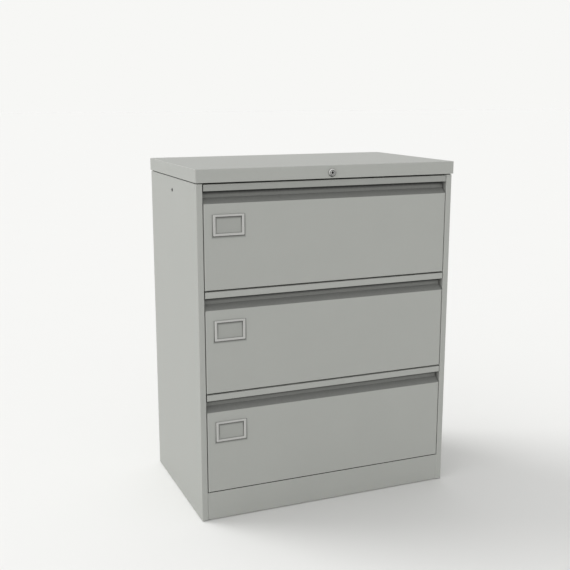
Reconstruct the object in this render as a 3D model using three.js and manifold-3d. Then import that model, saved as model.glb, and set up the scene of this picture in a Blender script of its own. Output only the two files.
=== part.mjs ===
// Three-drawer lateral filing cabinet in folded sheet steel, with telescopic runners and a central lock.
// Millimetres, +Z up. The drawers open towards -Y. The origin is on the floor, under the middle of the box.
import * as THREE from "three";
import { mergeVertices } from "three/addons/utils/BufferGeometryUtils.js";
import Module from "manifold-3d";

const wasm = await Module();
wasm.setup();

// Overall sizes
const BODY_WIDTH = 800; // across the outer faces of the side panels
const BODY_DEPTH = 480; // from the front of the stiles to the back
const PLINTH_HEIGHT = 85; // from the floor to the first drawer's space
const DRAWER_COUNT = 3;
const DRAWER_PITCH = 297; // height of one drawer's space
const LID_HEIGHT = 37.6;

// Sheet and clearances
const SHEET = 1; // panels, fronts and trays
const HEAVY = 1.5; // posts
const SEAT = 0.3; // between faces that rest on each other
const PLAY = 0.4; // between pieces that slide or turn in each other
const FLOOR_GAP = 2; // panels hang this far above the floor, on the feet
const OVERCUT = 1; // how far a cut runs past the face that it opens
const ROOT = 0.5; // how far a joined piece reaches into the one that carries it

// Carcass
const STILE = { width: 18, returnDepth: 22 };
const FLANGE = { width: 17, topSetback: 30, joggle: 4 };
const LINK_HOLE = { diameter: 9, fromFront: 238, belowTop: 37 };
const LID = { gap: 2.4, sideOverhang: 2.5, frontOverhang: 5, frontReturn: 13, sideReturn: 11 };
const PLINTH = { recess: 1, topFlange: 19, bottomFlange: 15 };
const BASE = { top: 41, skirt: 25, frontSetback: 24 };
const FOOT = { pad: 38, padHeight: 8, stem: 10, height: 62, fromSide: 60, fromFront: 55, fromBack: 45 };
const POST = { width: 40, rearSetback: 19 };
const RAIL = { depth: 25 };

// Drawers
const PANEL = { gap: 3, topGap: 1, sideGap: 2, strip: 18.8, mouth: 35, recess: 20, rise: 16, flange: 20 };
const TRAY = { lane: 13, floor: 6, height: 229, rim: 10, rearGap: 21 };
const FILE_RAIL = { thickness: 4, height: 16, inset: 27.7 };
const CARD = { width: 90.5, height: 58.5, proud: 3.5, bar: 7, fromEdge: 26, belowMouth: 29.8 };
const CARD_SLOT = { depth: 1.2, lip: 3 };
const RUNNER = { height: 45, wall: 1.2, trayGap: 2, lip: 2.8, centre: 70, rearInset: 0.7, stepBack: 8 };

// Lock and the rods that carry its turn to the drawers
const LOCK = { bezel: 24, proud: 6, chamfer: 1.5, barrel: 18, length: 25, plug: 12, drop: 2 };
const KEYWAY = { width: 2.4, height: 8, depth: 5, setback: 0.8 };
const NUT = { across: 24, thickness: 5 };
const TRAIN = { plate: 2, step: 1, pin: 4, proud: 0.5, rim: 4.5, tail: 7, throw: 7, arm: 14 };
const LOCK_TURN = Math.PI / 2; // from unlocked to locked
const LINK = { height: 16, overrun: 16, guideAt: 200, guideLength: 20, guideWall: 2 };
const CRANK = { stud: 6, studProud: 1.5 };
const BAR = { width: 10, tail: 46, guideHeight: 20, guideRise: 10, guideWall: 1.5 };
const CATCH = { height: 12, bottom: 130, reach: 10, leg: 24, gap: 2 };
const HOOK = { height: 12, under: 2, reach: 9.5 };

// Places worked out from the sizes
const HALF = BODY_WIDTH / 2;
const OPENING = HALF - STILE.width;
const FRONT = (LOCK.proud + LID.frontOverhang - BODY_DEPTH) / 2;
const BACK = FRONT + BODY_DEPTH;
const BODY_TOP = PLINTH_HEIGHT + DRAWER_COUNT * DRAWER_PITCH;
const LID_BOTTOM = BODY_TOP + LID.gap;
const LID_TOP = LID_BOTTOM + LID_HEIGHT;
const LID_SEAT = LID_BOTTOM - SEAT;
const FASCIA = FRONT - LID.frontOverhang;
const LID_RETURN = HALF + LID.sideOverhang - LID.sideReturn;
const BACK_PANEL = BACK - SHEET - SEAT - SHEET;
const LOCK_Z = (LID_BOTTOM + LID_TOP) / 2 - LOCK.drop;
const BARREL_END = FASCIA + LOCK.length;
const CAM = BARREL_END + SEAT;
const LOCK_BAR = FRONT + STILE.returnDepth + TRAIN.step;
const LINK_BAR = LOCK_BAR + TRAIN.plate + TRAIN.step;
const LINK_BACK = LINK_BAR + TRAIN.plate;
const RAIL_FRONT = LINK_BACK + PLAY + LINK.guideWall + SEAT;
const CRANK_BACK = LOCK_BAR - TRAIN.step;
const CATCH_FRONT = LOCK_BAR + TRAIN.plate + CATCH.gap;
const POST_FRONT = CATCH_FRONT + TRAIN.plate + TRAIN.step;
const PANEL_HALF = OPENING - PANEL.sideGap;
const PANEL_BACK = FRONT + PANEL.recess + SHEET;
const PANEL_TOP = DRAWER_PITCH - PANEL.topGap;
const PANEL_BOTTOM = PANEL.gap - PANEL.topGap;
const MOUTH_BOTTOM = PANEL_TOP - PANEL.strip - PANEL.mouth;
const TRAY_HALF = OPENING - TRAY.lane;
const TRAY_FRONT = PANEL_BACK + SEAT;
const TRAY_REAR = BACK_PANEL - TRAY.rearGap;
const TRAY_TOP = TRAY.floor + TRAY.height;

// The crank pin and the cam pin swing evenly to both sides of the upright, so the rods move in step.
const TRAVEL = 2 * TRAIN.throw * Math.sin(LOCK_TURN / 2);
const SWING = Math.asin(TRAVEL / 2 / TRAIN.arm);
const CAM_PIN = [-TRAVEL / 2, LOCK_Z - TRAIN.throw * Math.cos(LOCK_TURN / 2)];
const LINK_Z = LOCK_Z - (TRAIN.throw * (1 + Math.cos(LOCK_TURN / 2))) / 2;
const BAR_X = (OPENING + HALF) / 2;
const STUD = [BAR_X - TRAIN.arm * Math.cos(SWING), LINK_Z + (TRAIN.arm * (1 + Math.cos(SWING))) / 2];
const LINK_PIN = [STUD[0] - TRAVEL / 2, STUD[1] - TRAIN.arm * Math.cos(SWING)];
const BAR_PIN = [BAR_X, STUD[1] - TRAVEL / 2];

// Finishes
function finish(color, roughness, metalness) {
  return new THREE.MeshStandardMaterial({ color, roughness, metalness });
}

const greyPaint = finish(0xb4b6b1, 0.5, 0);
const zincPlate = finish(0xaeb1b3, 0.38, 0.9);
const chrome = finish(0xd4d6d8, 0.15, 1);
const blackNylon = finish(0x1d1e1f, 0.6, 0);

// Joining and cutting
function solidOf(geometry) {
  const bare = geometry.index ? geometry.toNonIndexed() : geometry.clone();
  bare.deleteAttribute("normal");
  bare.deleteAttribute("uv");
  const merged = mergeVertices(bare);
  const vertProperties = merged.attributes.position.array;
  const triVerts = new Uint32Array(merged.index.array);
  return new wasm.Manifold(new wasm.Mesh({ numProp: 3, vertProperties, triVerts }));
}

function geometryOf(solid) {
  const { vertProperties, triVerts } = solid.getMesh();
  const geometry = new THREE.BufferGeometry();
  geometry.setAttribute("position", new THREE.BufferAttribute(vertProperties, 3));
  geometry.setIndex(new THREE.BufferAttribute(triVerts, 1));
  geometry.computeVertexNormals();
  return geometry;
}

function join(...geometries) {
  return geometryOf(geometries.map(solidOf).reduce((whole, piece) => whole.add(piece)));
}

function cut(geometry, ...tools) {
  return geometryOf(tools.map(solidOf).reduce((whole, tool) => whole.subtract(tool), solidOf(geometry)));
}

// Flats on a round: the lock's own, most others, and the small pins
const ROUND = 32;
const SIDES = 24;
const PIN_SIDES = 16;

// Plain shapes, given by where they start and end
function box([x0, x1], [y0, y1], [z0, z1]) {
  const geometry = new THREE.BoxGeometry(x1 - x0, y1 - y0, z1 - z0);
  return geometry.translate((x0 + x1) / 2, (y0 + y1) / 2, (z0 + z1) / 2);
}

function rodY(diameter, [y0, y1], [x, z], sides = SIDES) {
  const geometry = new THREE.CylinderGeometry(diameter / 2, diameter / 2, y1 - y0, sides);
  return geometry.translate(x, (y0 + y1) / 2, z);
}

function rodX(diameter, [x0, x1], [y, z], sides = SIDES) {
  const geometry = new THREE.CylinderGeometry(diameter / 2, diameter / 2, x1 - x0, sides);
  return geometry.rotateZ(Math.PI / 2).translate((x0 + x1) / 2, y, z);
}

function rodZ(diameter, [z0, z1], [x, y], sides = SIDES) {
  const geometry = new THREE.CylinderGeometry(diameter / 2, diameter / 2, z1 - z0, sides);
  return geometry.rotateX(Math.PI / 2).translate(x, y, (z0 + z1) / 2);
}

// Sections drawn in two coordinates and drawn out along the third
const AXIS_X = new THREE.Vector3(1, 0, 0);
const AXIS_Y = new THREE.Vector3(0, 1, 0);
const AXIS_Z = new THREE.Vector3(0, 0, 1);

function drawnOut(shape, length) {
  return new THREE.ExtrudeGeometry(shape, { depth: length, bevelEnabled: false, curveSegments: 8 });
}

function alongX(shapeYZ, [x0, x1]) {
  const turn = new THREE.Matrix4().makeBasis(AXIS_Y, AXIS_Z, AXIS_X);
  return drawnOut(shapeYZ, x1 - x0).applyMatrix4(turn).translate(x0, 0, 0);
}

function alongY(shapeXZ, [y0, y1]) {
  const turn = new THREE.Matrix4().makeBasis(AXIS_X, AXIS_Z, AXIS_Y.clone().negate());
  return drawnOut(shapeXZ, y1 - y0).applyMatrix4(turn).translate(0, y1, 0);
}

function alongZ(shapeXY, [z0, z1]) {
  return drawnOut(shapeXY, z1 - z0).translate(0, 0, z0);
}

// Section of a folded sheet: the path follows one face, and the metal lies to the left of it.
function folded(path, thickness) {
  const face = path.map(([a, b]) => new THREE.Vector2(a, b));
  const normals = face.slice(1).map((point, i) => {
    const along = point.clone().sub(face[i]).normalize();
    return new THREE.Vector2(-along.y, along.x);
  });
  const back = face.map((point, i) => {
    const before = normals[Math.max(i - 1, 0)];
    const after = normals[Math.min(i, normals.length - 1)];
    const mitre = before.clone().add(after);
    return point.clone().addScaledVector(mitre, thickness / (1 + before.dot(after)));
  });
  return new THREE.Shape([...face, ...back.reverse()]);
}

// Outline with round ends about two points, for link plates and slots
function roundEnded([x0, z0], [x1, z1], radius) {
  const along = Math.atan2(z1 - z0, x1 - x0);
  const shape = new THREE.Shape();
  shape.absarc(x1, z1, radius, along - Math.PI / 2, along + Math.PI / 2);
  shape.absarc(x0, z0, radius, along + Math.PI / 2, along + (3 * Math.PI) / 2);
  return shape;
}

// Scene graph helpers
const cabinet = new THREE.Group();

function add(name, geometry, material, parent = cabinet) {
  const mesh = new THREE.Mesh(geometry, material);
  mesh.name = name;
  parent.add(mesh);
  return mesh;
}

// A piece drawn for the right-hand side, and its mirror image on the left
function addPair(rightName, leftName, geometry, material, parent = cabinet) {
  add(rightName, geometry, material, parent);
  add(leftName, geometry, material, parent).scale.x = -1;
}

// Side panels: stile, web and back flange in one fold, with flanges at the top and the bottom
function sidePanel() {
  const plan = folded(
    [
      [OPENING, FRONT + STILE.returnDepth],
      [OPENING, FRONT],
      [HALF, FRONT],
      [HALF, BACK],
      [HALF - FLANGE.width, BACK],
    ],
    SHEET,
  );
  const stepped = folded(
    [
      [HALF - ROOT, BODY_TOP],
      [HALF - FLANGE.joggle, BODY_TOP],
      [HALF - FLANGE.joggle, LID_SEAT],
      [HALF - FLANGE.width, LID_SEAT],
    ],
    SHEET,
  );
  const flangeY = [FRONT + FLANGE.topSetback, BACK - ROOT];
  const holeAt = [FRONT + LINK_HOLE.fromFront, BODY_TOP - LINK_HOLE.belowTop];
  const panel = join(
    alongZ(plan, [FLOOR_GAP, BODY_TOP]),
    alongY(stepped, flangeY),
    box([HALF - FLANGE.width, HALF - ROOT], flangeY, [FLOOR_GAP, FLOOR_GAP + SHEET]),
  );
  return cut(panel, rodX(LINK_HOLE.diameter, [HALF - SHEET - OVERCUT, HALF + OVERCUT], holeAt));
}

function backPanel() {
  const half = HALF - SHEET - SEAT;
  const lowest = FLOOR_GAP + SHEET + SEAT;
  return box([-half, half], [BACK_PANEL, BACK_PANEL + SHEET], [lowest, BODY_TOP - SHEET - SEAT]);
}

// Lid: a tray turned upside down, its lower edge folded inwards, with room for the lock bar at the sides
function lid() {
  const half = HALF + LID.sideOverhang;
  const inside = half - SHEET;
  const returnFront = FRONT - LID.frontOverhang + LID.frontReturn;
  const returnBack = BACK - LID.frontReturn;
  const through = [LID_BOTTOM - OVERCUT, LID_BOTTOM + SHEET + OVERCUT];
  const fascia = [FASCIA - OVERCUT, FASCIA + SHEET + OVERCUT];
  return cut(
    box([-half, half], [FASCIA, BACK], [LID_BOTTOM, LID_TOP]),
    box([-inside, inside], [FASCIA + SHEET, BACK - SHEET], [LID_BOTTOM + SHEET, LID_TOP - SHEET]),
    box([-LID_RETURN, LID_RETURN], [returnFront, returnBack], through),
    box([-inside, inside], [returnFront, FRONT + FLANGE.topSetback], through),
    rodY(LOCK.barrel + 2 * SEAT, fascia, [0, LOCK_Z], ROUND),
  );
}

function plinthPanel() {
  const face = FRONT + PLINTH.recess;
  const half = OPENING - SEAT;
  const section = folded(
    [
      [face + PLINTH.topFlange, PLINTH_HEIGHT],
      [face, PLINTH_HEIGHT],
      [face, FLOOR_GAP],
      [face + PLINTH.bottomFlange, FLOOR_GAP],
    ],
    SHEET,
  );
  return alongX(section, [-half, half]);
}

const footPlaces = [
  ["front_left", -1, FRONT + FOOT.fromFront],
  ["front_right", 1, FRONT + FOOT.fromFront],
  ["rear_left", -1, BACK - FOOT.fromBack],
  ["rear_right", 1, BACK - FOOT.fromBack],
].map(([name, side, y]) => ({ name, x: side * (HALF - FOOT.fromSide), y }));

// Base: a shallow tray turned upside down, holed for the threaded stems of the feet
function basePanel() {
  const half = HALF - SHEET - SEAT;
  const front = FRONT + BASE.frontSetback;
  const back = BACK_PANEL - SEAT;
  const low = BASE.top - BASE.skirt;
  const holes = footPlaces.map(({ x, y }) => {
    return rodZ(FOOT.stem + 2 * SEAT, [BASE.top - SHEET - OVERCUT, BASE.top + OVERCUT], [x, y]);
  });
  return cut(
    box([-half, half], [front, back], [low, BASE.top]),
    box([SHEET - half, half - SHEET], [front + SHEET, back - SHEET], [low - OVERCUT, BASE.top - SHEET]),
    ...holes,
  );
}

// Levelling foot: a round pad with a crowned edge on a threaded stem
function levellingFoot() {
  const pad = FOOT.pad / 2;
  const stem = FOOT.stem / 2;
  const profile = [
    [0, 0],
    [pad, 0],
    [pad, FOOT.padHeight / 2],
    [pad / 2, FOOT.padHeight],
    [stem, FOOT.padHeight],
    [stem, FOOT.height],
    [0, FOOT.height],
  ].map(([radius, z]) => new THREE.Vector2(radius, z));
  return new THREE.LatheGeometry(profile, SIDES).rotateX(Math.PI / 2);
}

// Runner post: a channel whose web stands level with the edge of the stile
function runnerPost(front) {
  const wall = HALF - SHEET - SEAT;
  const plan = folded(
    [
      [wall, front + POST.width],
      [OPENING, front + POST.width],
      [OPENING, front],
      [wall, front],
    ],
    HEAVY,
  );
  return alongZ(plan, [BASE.top + SEAT, BODY_TOP - SHEET - SEAT]);
}

// Cross rail under the lid, with the stud that the bell crank turns on
function topFrontRail() {
  const half = LID_RETURN - SEAT;
  const low = LID_SEAT + SEAT;
  const high = LID_TOP - SHEET - SEAT;
  const section = folded(
    [
      [RAIL_FRONT + RAIL.depth, high],
      [RAIL_FRONT, high],
      [RAIL_FRONT, low],
      [RAIL_FRONT + RAIL.depth, low],
    ],
    SHEET,
  );
  const studFront = CRANK_BACK - TRAIN.plate - CRANK.studProud;
  return join(alongX(section, [-half, half]), rodY(CRANK.stud, [studFront, RAIL_FRONT + ROOT], STUD));
}

// Telescopic runner: three nested channels in the lane between the post and the tray, right-hand side.
// Depths are measured from the post towards the tray.
const inLane = (depth) => OPENING - depth;
const OUTER_HALF = RUNNER.height / 2;
const MIDDLE_HALF = OUTER_HALF - RUNNER.wall - PLAY;
const INNER_HALF = MIDDLE_HALF - RUNNER.wall - PLAY;
const OUTER_DEPTH = TRAY.lane - RUNNER.trayGap;
const OUTER_WEB = SEAT;
const MIDDLE_WEB = OUTER_WEB + RUNNER.wall + PLAY;
const INNER_TOE = MIDDLE_WEB + RUNNER.wall + PLAY;
const RUNNER_FRONT = POST_FRONT + SEAT;
const RUNNER_REAR = BACK - POST.rearSetback - RUNNER.rearInset;

function outerRunner() {
  const mouth = inLane(OUTER_DEPTH);
  const lip = OUTER_HALF - RUNNER.lip;
  const section = folded(
    [
      [mouth, lip],
      [mouth, OUTER_HALF],
      [inLane(OUTER_WEB), OUTER_HALF],
      [inLane(OUTER_WEB), -OUTER_HALF],
      [mouth, -OUTER_HALF],
      [mouth, -lip],
    ].reverse(),
    RUNNER.wall,
  );
  return alongY(section, [RUNNER_FRONT, RUNNER_REAR]);
}

function middleRunner() {
  const toe = inLane(OUTER_DEPTH - RUNNER.wall - PLAY);
  const section = folded(
    [
      [toe, -MIDDLE_HALF],
      [inLane(MIDDLE_WEB), -MIDDLE_HALF],
      [inLane(MIDDLE_WEB), MIDDLE_HALF],
      [toe, MIDDLE_HALF],
    ],
    RUNNER.wall,
  );
  return alongY(section, [RUNNER_FRONT, RUNNER_REAR - RUNNER.stepBack]);
}

function innerRunner() {
  const web = TRAY_HALF + SEAT;
  const section = folded(
    [
      [inLane(INNER_TOE), INNER_HALF],
      [web, INNER_HALF],
      [web, -INNER_HALF],
      [inLane(INNER_TOE), -INNER_HALF],
    ],
    RUNNER.wall,
  );
  return alongY(section, [RUNNER_FRONT, RUNNER_REAR - RUNNER.stepBack]);
}

// Drawer front: grip strip, top, back of the grip, sloped recess, face and bottom in one fold, with side
// returns. The flanges at the back lie against the tray.
// Heights in a drawer are measured from the bottom of its space.
function drawerFront() {
  const face = folded(
    [
      [FRONT + SHEET, PANEL_TOP - PANEL.strip],
      [FRONT + SHEET, PANEL_TOP - SHEET],
      [FRONT + PANEL.recess, PANEL_TOP - SHEET],
      [FRONT + PANEL.recess, MOUTH_BOTTOM + PANEL.rise],
      [FRONT, MOUTH_BOTTOM],
      [FRONT, PANEL_BOTTOM],
      [PANEL_BACK, PANEL_BOTTOM],
      [PANEL_BACK, PANEL_BOTTOM + PANEL.flange],
    ],
    SHEET,
  );
  const rightReturn = [
    [PANEL_HALF, FRONT + ROOT],
    [PANEL_HALF, PANEL_BACK],
    [PANEL_HALF - PANEL.flange, PANEL_BACK],
  ];
  const leftReturn = rightReturn.map(([x, y]) => [-x, y]).reverse();
  const sides = [rightReturn, leftReturn].map((plan) => {
    return alongZ(folded(plan, SHEET), [PANEL_BOTTOM + ROOT, MOUTH_BOTTOM - SHEET]);
  });
  return join(alongX(face, [-PANEL_HALF, PANEL_HALF]), ...sides);
}

// Tray: floor, four walls and a rim folded inwards all round
function drawerTray() {
  const inside = TRAY_HALF - SHEET;
  const rim = TRAY_HALF - TRAY.rim;
  const insideY = [TRAY_FRONT + SHEET, TRAY_REAR - SHEET];
  const rimY = [TRAY_FRONT + TRAY.rim, TRAY_REAR - TRAY.rim];
  return cut(
    box([-TRAY_HALF, TRAY_HALF], [TRAY_FRONT, TRAY_REAR], [TRAY.floor, TRAY_TOP]),
    box([-inside, inside], insideY, [TRAY.floor + SHEET, TRAY_TOP - SHEET]),
    box([-rim, rim], rimY, [TRAY_TOP - SHEET - OVERCUT, TRAY_TOP + OVERCUT]),
  );
}

// File rail across the tray, resting on the rim at both ends
function fileRail(side) {
  const half = TRAY_HALF - SHEET;
  const middle = side < 0 ? TRAY_FRONT + FILE_RAIL.inset : TRAY_REAR - FILE_RAIL.inset;
  const thickness = [middle - FILE_RAIL.thickness / 2, middle + FILE_RAIL.thickness / 2];
  const bottom = TRAY_TOP + SEAT;
  return box([-half, half], thickness, [bottom, bottom + FILE_RAIL.height]);
}

// Card holder: a raised frame with a slot behind it, open at the top
function cardHolder() {
  const left = -PANEL_HALF + CARD.fromEdge;
  const right = left + CARD.width;
  const top = MOUTH_BOTTOM - CARD.belowMouth;
  const bottom = top - CARD.height;
  const back = FRONT - SEAT;
  const window = [left + CARD.bar, right - CARD.bar];
  const slot = [window[0] - CARD_SLOT.lip, window[1] + CARD_SLOT.lip];
  return cut(
    box([left, right], [back - CARD.proud, back], [bottom, top]),
    box(window, [back - CARD.proud - OVERCUT, back + OVERCUT], [bottom + CARD.bar, top - CARD.bar]),
    box(slot, [back - CARD_SLOT.depth, back + OVERCUT], [bottom + CARD.bar - CARD_SLOT.lip, top + OVERCUT]),
  );
}

// Catch on the tray's right-hand side, which the lock bar's hook stands in front of when locked
function lockCatch() {
  const foot = TRAY_HALF + SEAT;
  const height = [CATCH.bottom, CATCH.bottom + CATCH.height];
  return join(
    box([foot, foot + TRAIN.plate], [CATCH_FRONT, CATCH_FRONT + CATCH.leg], height),
    box([foot, foot + CATCH.reach], [CATCH_FRONT, CATCH_FRONT + TRAIN.plate], height),
  );
}

// Lock housing: bezel and barrel turned in one, bored for the plug
function lockHousing() {
  const bore = LOCK.plug / 2 + PLAY;
  const bezel = LOCK.bezel / 2;
  const barrel = LOCK.barrel / 2;
  const frontFace = FASCIA - LOCK.proud;
  const shoulder = FASCIA - SEAT;
  const profile = [
    [bore, frontFace],
    [bezel - LOCK.chamfer, frontFace],
    [bezel, frontFace + LOCK.chamfer],
    [bezel, shoulder],
    [barrel, shoulder],
    [barrel, BARREL_END],
    [bore, BARREL_END],
    [bore, frontFace],
  ].map(([radius, y]) => new THREE.Vector2(radius, y));
  return new THREE.LatheGeometry(profile, ROUND).translate(0, 0, LOCK_Z);
}

function lockPlug() {
  const frontFace = FASCIA - LOCK.proud + KEYWAY.setback;
  const tail = TRAIN.tail / 2;
  const tailY = [BARREL_END - ROOT, CAM + TRAIN.plate + TRAIN.step];
  const keyX = [-KEYWAY.width / 2, KEYWAY.width / 2];
  const keyZ = [LOCK_Z - KEYWAY.height / 2, LOCK_Z + KEYWAY.height / 2];
  return cut(
    join(
      rodY(LOCK.plug, [frontFace, BARREL_END], [0, LOCK_Z], ROUND),
      box([-tail, tail], tailY, [LOCK_Z - tail, LOCK_Z + tail]),
    ),
    box(keyX, [frontFace - OVERCUT, frontFace + KEYWAY.depth], keyZ),
  );
}

function lockNut() {
  const circumscribed = NUT.across / Math.cos(Math.PI / 6);
  const front = FASCIA + SHEET + SEAT;
  return cut(
    rodY(circumscribed, [0, NUT.thickness], [0, 0], 6).rotateY(Math.PI / 6).translate(0, front, LOCK_Z),
    rodY(LOCK.barrel + 2 * SEAT, [front - OVERCUT, front + NUT.thickness + OVERCUT], [0, LOCK_Z], ROUND),
  );
}

// Cam on the plug's tail, with the pin that drives the link
function lockCam() {
  const hole = TRAIN.tail / 2 + SEAT;
  const camY = [CAM, CAM + TRAIN.plate];
  const plate = cut(
    alongY(roundEnded([0, LOCK_Z], CAM_PIN, TRAIN.tail / 2 + TRAIN.rim), camY),
    box([-hole, hole], [CAM - OVERCUT, CAM + TRAIN.plate + OVERCUT], [LOCK_Z - hole, LOCK_Z + hole]),
  );
  const pinY = [CAM + TRAIN.plate - ROOT, LINK_BACK + TRAIN.proud];
  return join(plate, rodY(TRAIN.pin, pinY, CAM_PIN, PIN_SIDES));
}

// Upright slot about a pin, long enough for the pin's rise and fall
function pinSlot([x, z], rise) {
  return roundEnded([x, z - rise], [x, z], TRAIN.pin / 2 + PLAY);
}

// Link: a flat bar from the cam to the bell crank
function lockLink() {
  const camRise = TRAIN.throw * (1 - Math.cos(LOCK_TURN / 2));
  const crankRise = TRAIN.arm * (1 - Math.cos(SWING));
  const left = CAM_PIN[0] - LINK.overrun;
  const right = LINK_PIN[0] + TRAIN.pin / 2 + TRAIN.rim;
  const height = [LINK_Z - LINK.height / 2, LINK_Z + LINK.height / 2];
  const slotY = [LINK_BAR - OVERCUT, LINK_BACK + OVERCUT];
  return cut(
    box([left, right], [LINK_BAR, LINK_BACK], height),
    alongY(pinSlot(CAM_PIN, camRise), slotY),
    alongY(pinSlot(LINK_PIN, crankRise), slotY),
  );
}

// Guide that holds the link against the rail
function linkGuide() {
  const x = [LINK.guideAt - LINK.guideLength / 2, LINK.guideAt + LINK.guideLength / 2];
  const room = LINK.height / 2 + PLAY;
  const wall = room + LINK.guideWall;
  const slotY = [LINK_BAR - PLAY, LINK_BACK + PLAY];
  return cut(
    box(x, [slotY[0] - LINK.guideWall, RAIL_FRONT - SEAT], [LINK_Z - wall, LINK_Z + wall]),
    box([x[0] - OVERCUT, x[1] + OVERCUT], slotY, [LINK_Z - room, LINK_Z + room]),
  );
}

// Bell crank: turns the link's sideways travel into the lock bar's lift
function bellCrank() {
  const radius = TRAIN.pin / 2 + TRAIN.rim;
  const plateY = [CRANK_BACK - TRAIN.plate, CRANK_BACK];
  const pinStart = CRANK_BACK - ROOT;
  const plate = join(
    alongY(roundEnded(STUD, LINK_PIN, radius), plateY),
    alongY(roundEnded(STUD, BAR_PIN, radius), plateY),
    rodY(TRAIN.pin, [pinStart, LINK_BACK + TRAIN.proud], LINK_PIN, PIN_SIDES),
    rodY(TRAIN.pin, [pinStart, LOCK_BAR + TRAIN.plate + TRAIN.proud], BAR_PIN, PIN_SIDES),
  );
  return cut(plate, rodY(CRANK.stud + 2 * PLAY, [plateY[0] - OVERCUT, plateY[1] + OVERCUT], STUD));
}

// Lock bar: an upright with a hook below each drawer's catch and a slot for the crank pin
const drawerBase = (number) => PLINTH_HEIGHT + (DRAWER_COUNT - number) * DRAWER_PITCH;
const drawerNumbers = Array.from({ length: DRAWER_COUNT }, (_, i) => i + 1);
const hookTop = (number) => drawerBase(number) + CATCH.bottom - HOOK.under;
const BAR_BOTTOM = hookTop(DRAWER_COUNT) - HOOK.height - BAR.tail;

function lockBar() {
  const x = [BAR_X - BAR.width / 2, BAR_X + BAR.width / 2];
  const y = [LOCK_BAR, LOCK_BAR + TRAIN.plate];
  const top = BAR_PIN[1] + TRAIN.pin / 2 + TRAIN.rim;
  const sway = TRAIN.arm * (1 - Math.cos(SWING));
  const slot = roundEnded(BAR_PIN, [BAR_PIN[0] + sway, BAR_PIN[1]], TRAIN.pin / 2 + PLAY);
  const hooks = drawerNumbers.map((number) => {
    return box([OPENING - HOOK.reach, BAR_X], y, [hookTop(number) - HOOK.height, hookTop(number)]);
  });
  return cut(
    join(box(x, y, [BAR_BOTTOM, top]), ...hooks),
    alongY(slot, [y[0] - OVERCUT, y[1] + OVERCUT]),
  );
}

// Guide that holds the lock bar against the post
function lockBarGuide() {
  const x = [OPENING + SHEET + SEAT, HALF - SHEET - SEAT];
  const room = BAR.width / 2 + PLAY;
  const bottom = BAR_BOTTOM + BAR.guideRise;
  const height = [bottom, bottom + BAR.guideHeight];
  const slotY = [LOCK_BAR - PLAY, LOCK_BAR + TRAIN.plate + PLAY];
  return cut(
    box(x, [slotY[0] - BAR.guideWall, POST_FRONT - SEAT], height),
    box([BAR_X - room, BAR_X + room], slotY, [height[0] - OVERCUT, height[1] + OVERCUT]),
  );
}

// Carcass
addPair("right_side_panel", "left_side_panel", sidePanel(), greyPaint);
add("back_panel", backPanel(), greyPaint);
add("top_panel", lid(), greyPaint);
add("base_panel", basePanel(), greyPaint);
add("plinth_panel", plinthPanel(), greyPaint);
add("top_front_rail", topFrontRail(), greyPaint);
addPair("right_front_post", "left_front_post", runnerPost(POST_FRONT), greyPaint);
addPair("right_rear_post", "left_rear_post", runnerPost(BACK - POST.rearSetback - POST.width), greyPaint);
footPlaces.forEach(({ name, x, y }) => {
  add(`levelling_foot_${name}`, levellingFoot(), blackNylon).position.set(x, y, 0);
});

// Lock
add("lock_housing", lockHousing(), chrome);
add("lock_plug", lockPlug(), chrome);
add("lock_nut", lockNut(), zincPlate);
add("lock_cam", lockCam(), zincPlate);
add("lock_link", lockLink(), zincPlate);
add("link_guide", linkGuide(), zincPlate);
add("bell_crank", bellCrank(), zincPlate);
add("lock_bar", lockBar(), zincPlate);
add("lock_bar_guide", lockBarGuide(), zincPlate);

// Drawers, numbered from the top
drawerNumbers.forEach((number) => {
  const name = `drawer_${number}`;
  const drawer = new THREE.Group();
  drawer.position.z = drawerBase(number);
  cabinet.add(drawer);
  add(`${name}_front`, drawerFront(), greyPaint, drawer);
  add(`${name}_tray`, drawerTray(), greyPaint, drawer);
  add(`${name}_front_file_rail`, fileRail(-1), zincPlate, drawer);
  add(`${name}_rear_file_rail`, fileRail(1), zincPlate, drawer);
  add(`${name}_card_holder`, cardHolder(), greyPaint, drawer);
  add(`${name}_lock_catch`, lockCatch(), zincPlate, drawer);

  const runners = new THREE.Group();
  runners.position.z = RUNNER.centre;
  drawer.add(runners);
  addPair(`${name}_right_outer_runner`, `${name}_left_outer_runner`, outerRunner(), zincPlate, runners);
  addPair(`${name}_right_middle_runner`, `${name}_left_middle_runner`, middleRunner(), zincPlate, runners);
  addPair(`${name}_right_inner_runner`, `${name}_left_inner_runner`, innerRunner(), zincPlate, runners);
});

export default cabinet;
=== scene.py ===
"""Looks of a three-drawer lateral filing cabinet in folded, powder-coated sheet steel."""

import math

import bmesh
import bpy
from bpy.props import FloatProperty, FloatVectorProperty, IntProperty, PointerProperty
from mathutils import Matrix, Vector


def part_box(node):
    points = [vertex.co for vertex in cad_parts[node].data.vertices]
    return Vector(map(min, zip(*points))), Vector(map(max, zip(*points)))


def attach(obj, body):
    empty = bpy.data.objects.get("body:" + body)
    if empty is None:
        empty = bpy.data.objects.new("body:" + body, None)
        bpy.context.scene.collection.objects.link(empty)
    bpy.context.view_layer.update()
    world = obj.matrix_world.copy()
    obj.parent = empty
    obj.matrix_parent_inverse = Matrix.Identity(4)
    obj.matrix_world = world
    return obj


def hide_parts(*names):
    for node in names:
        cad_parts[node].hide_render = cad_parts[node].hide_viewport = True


bl_info = {
    "name": "Lateral Filing Cabinet",
    "version": (1, 0, 0),
    "blender": (4, 5, 0),
    "location": "3D View > Sidebar > Cabinet",
    "description": "Builds the folded sheet, runners, lock and stage of a lateral filing cabinet",
    "category": "Object",
}

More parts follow.
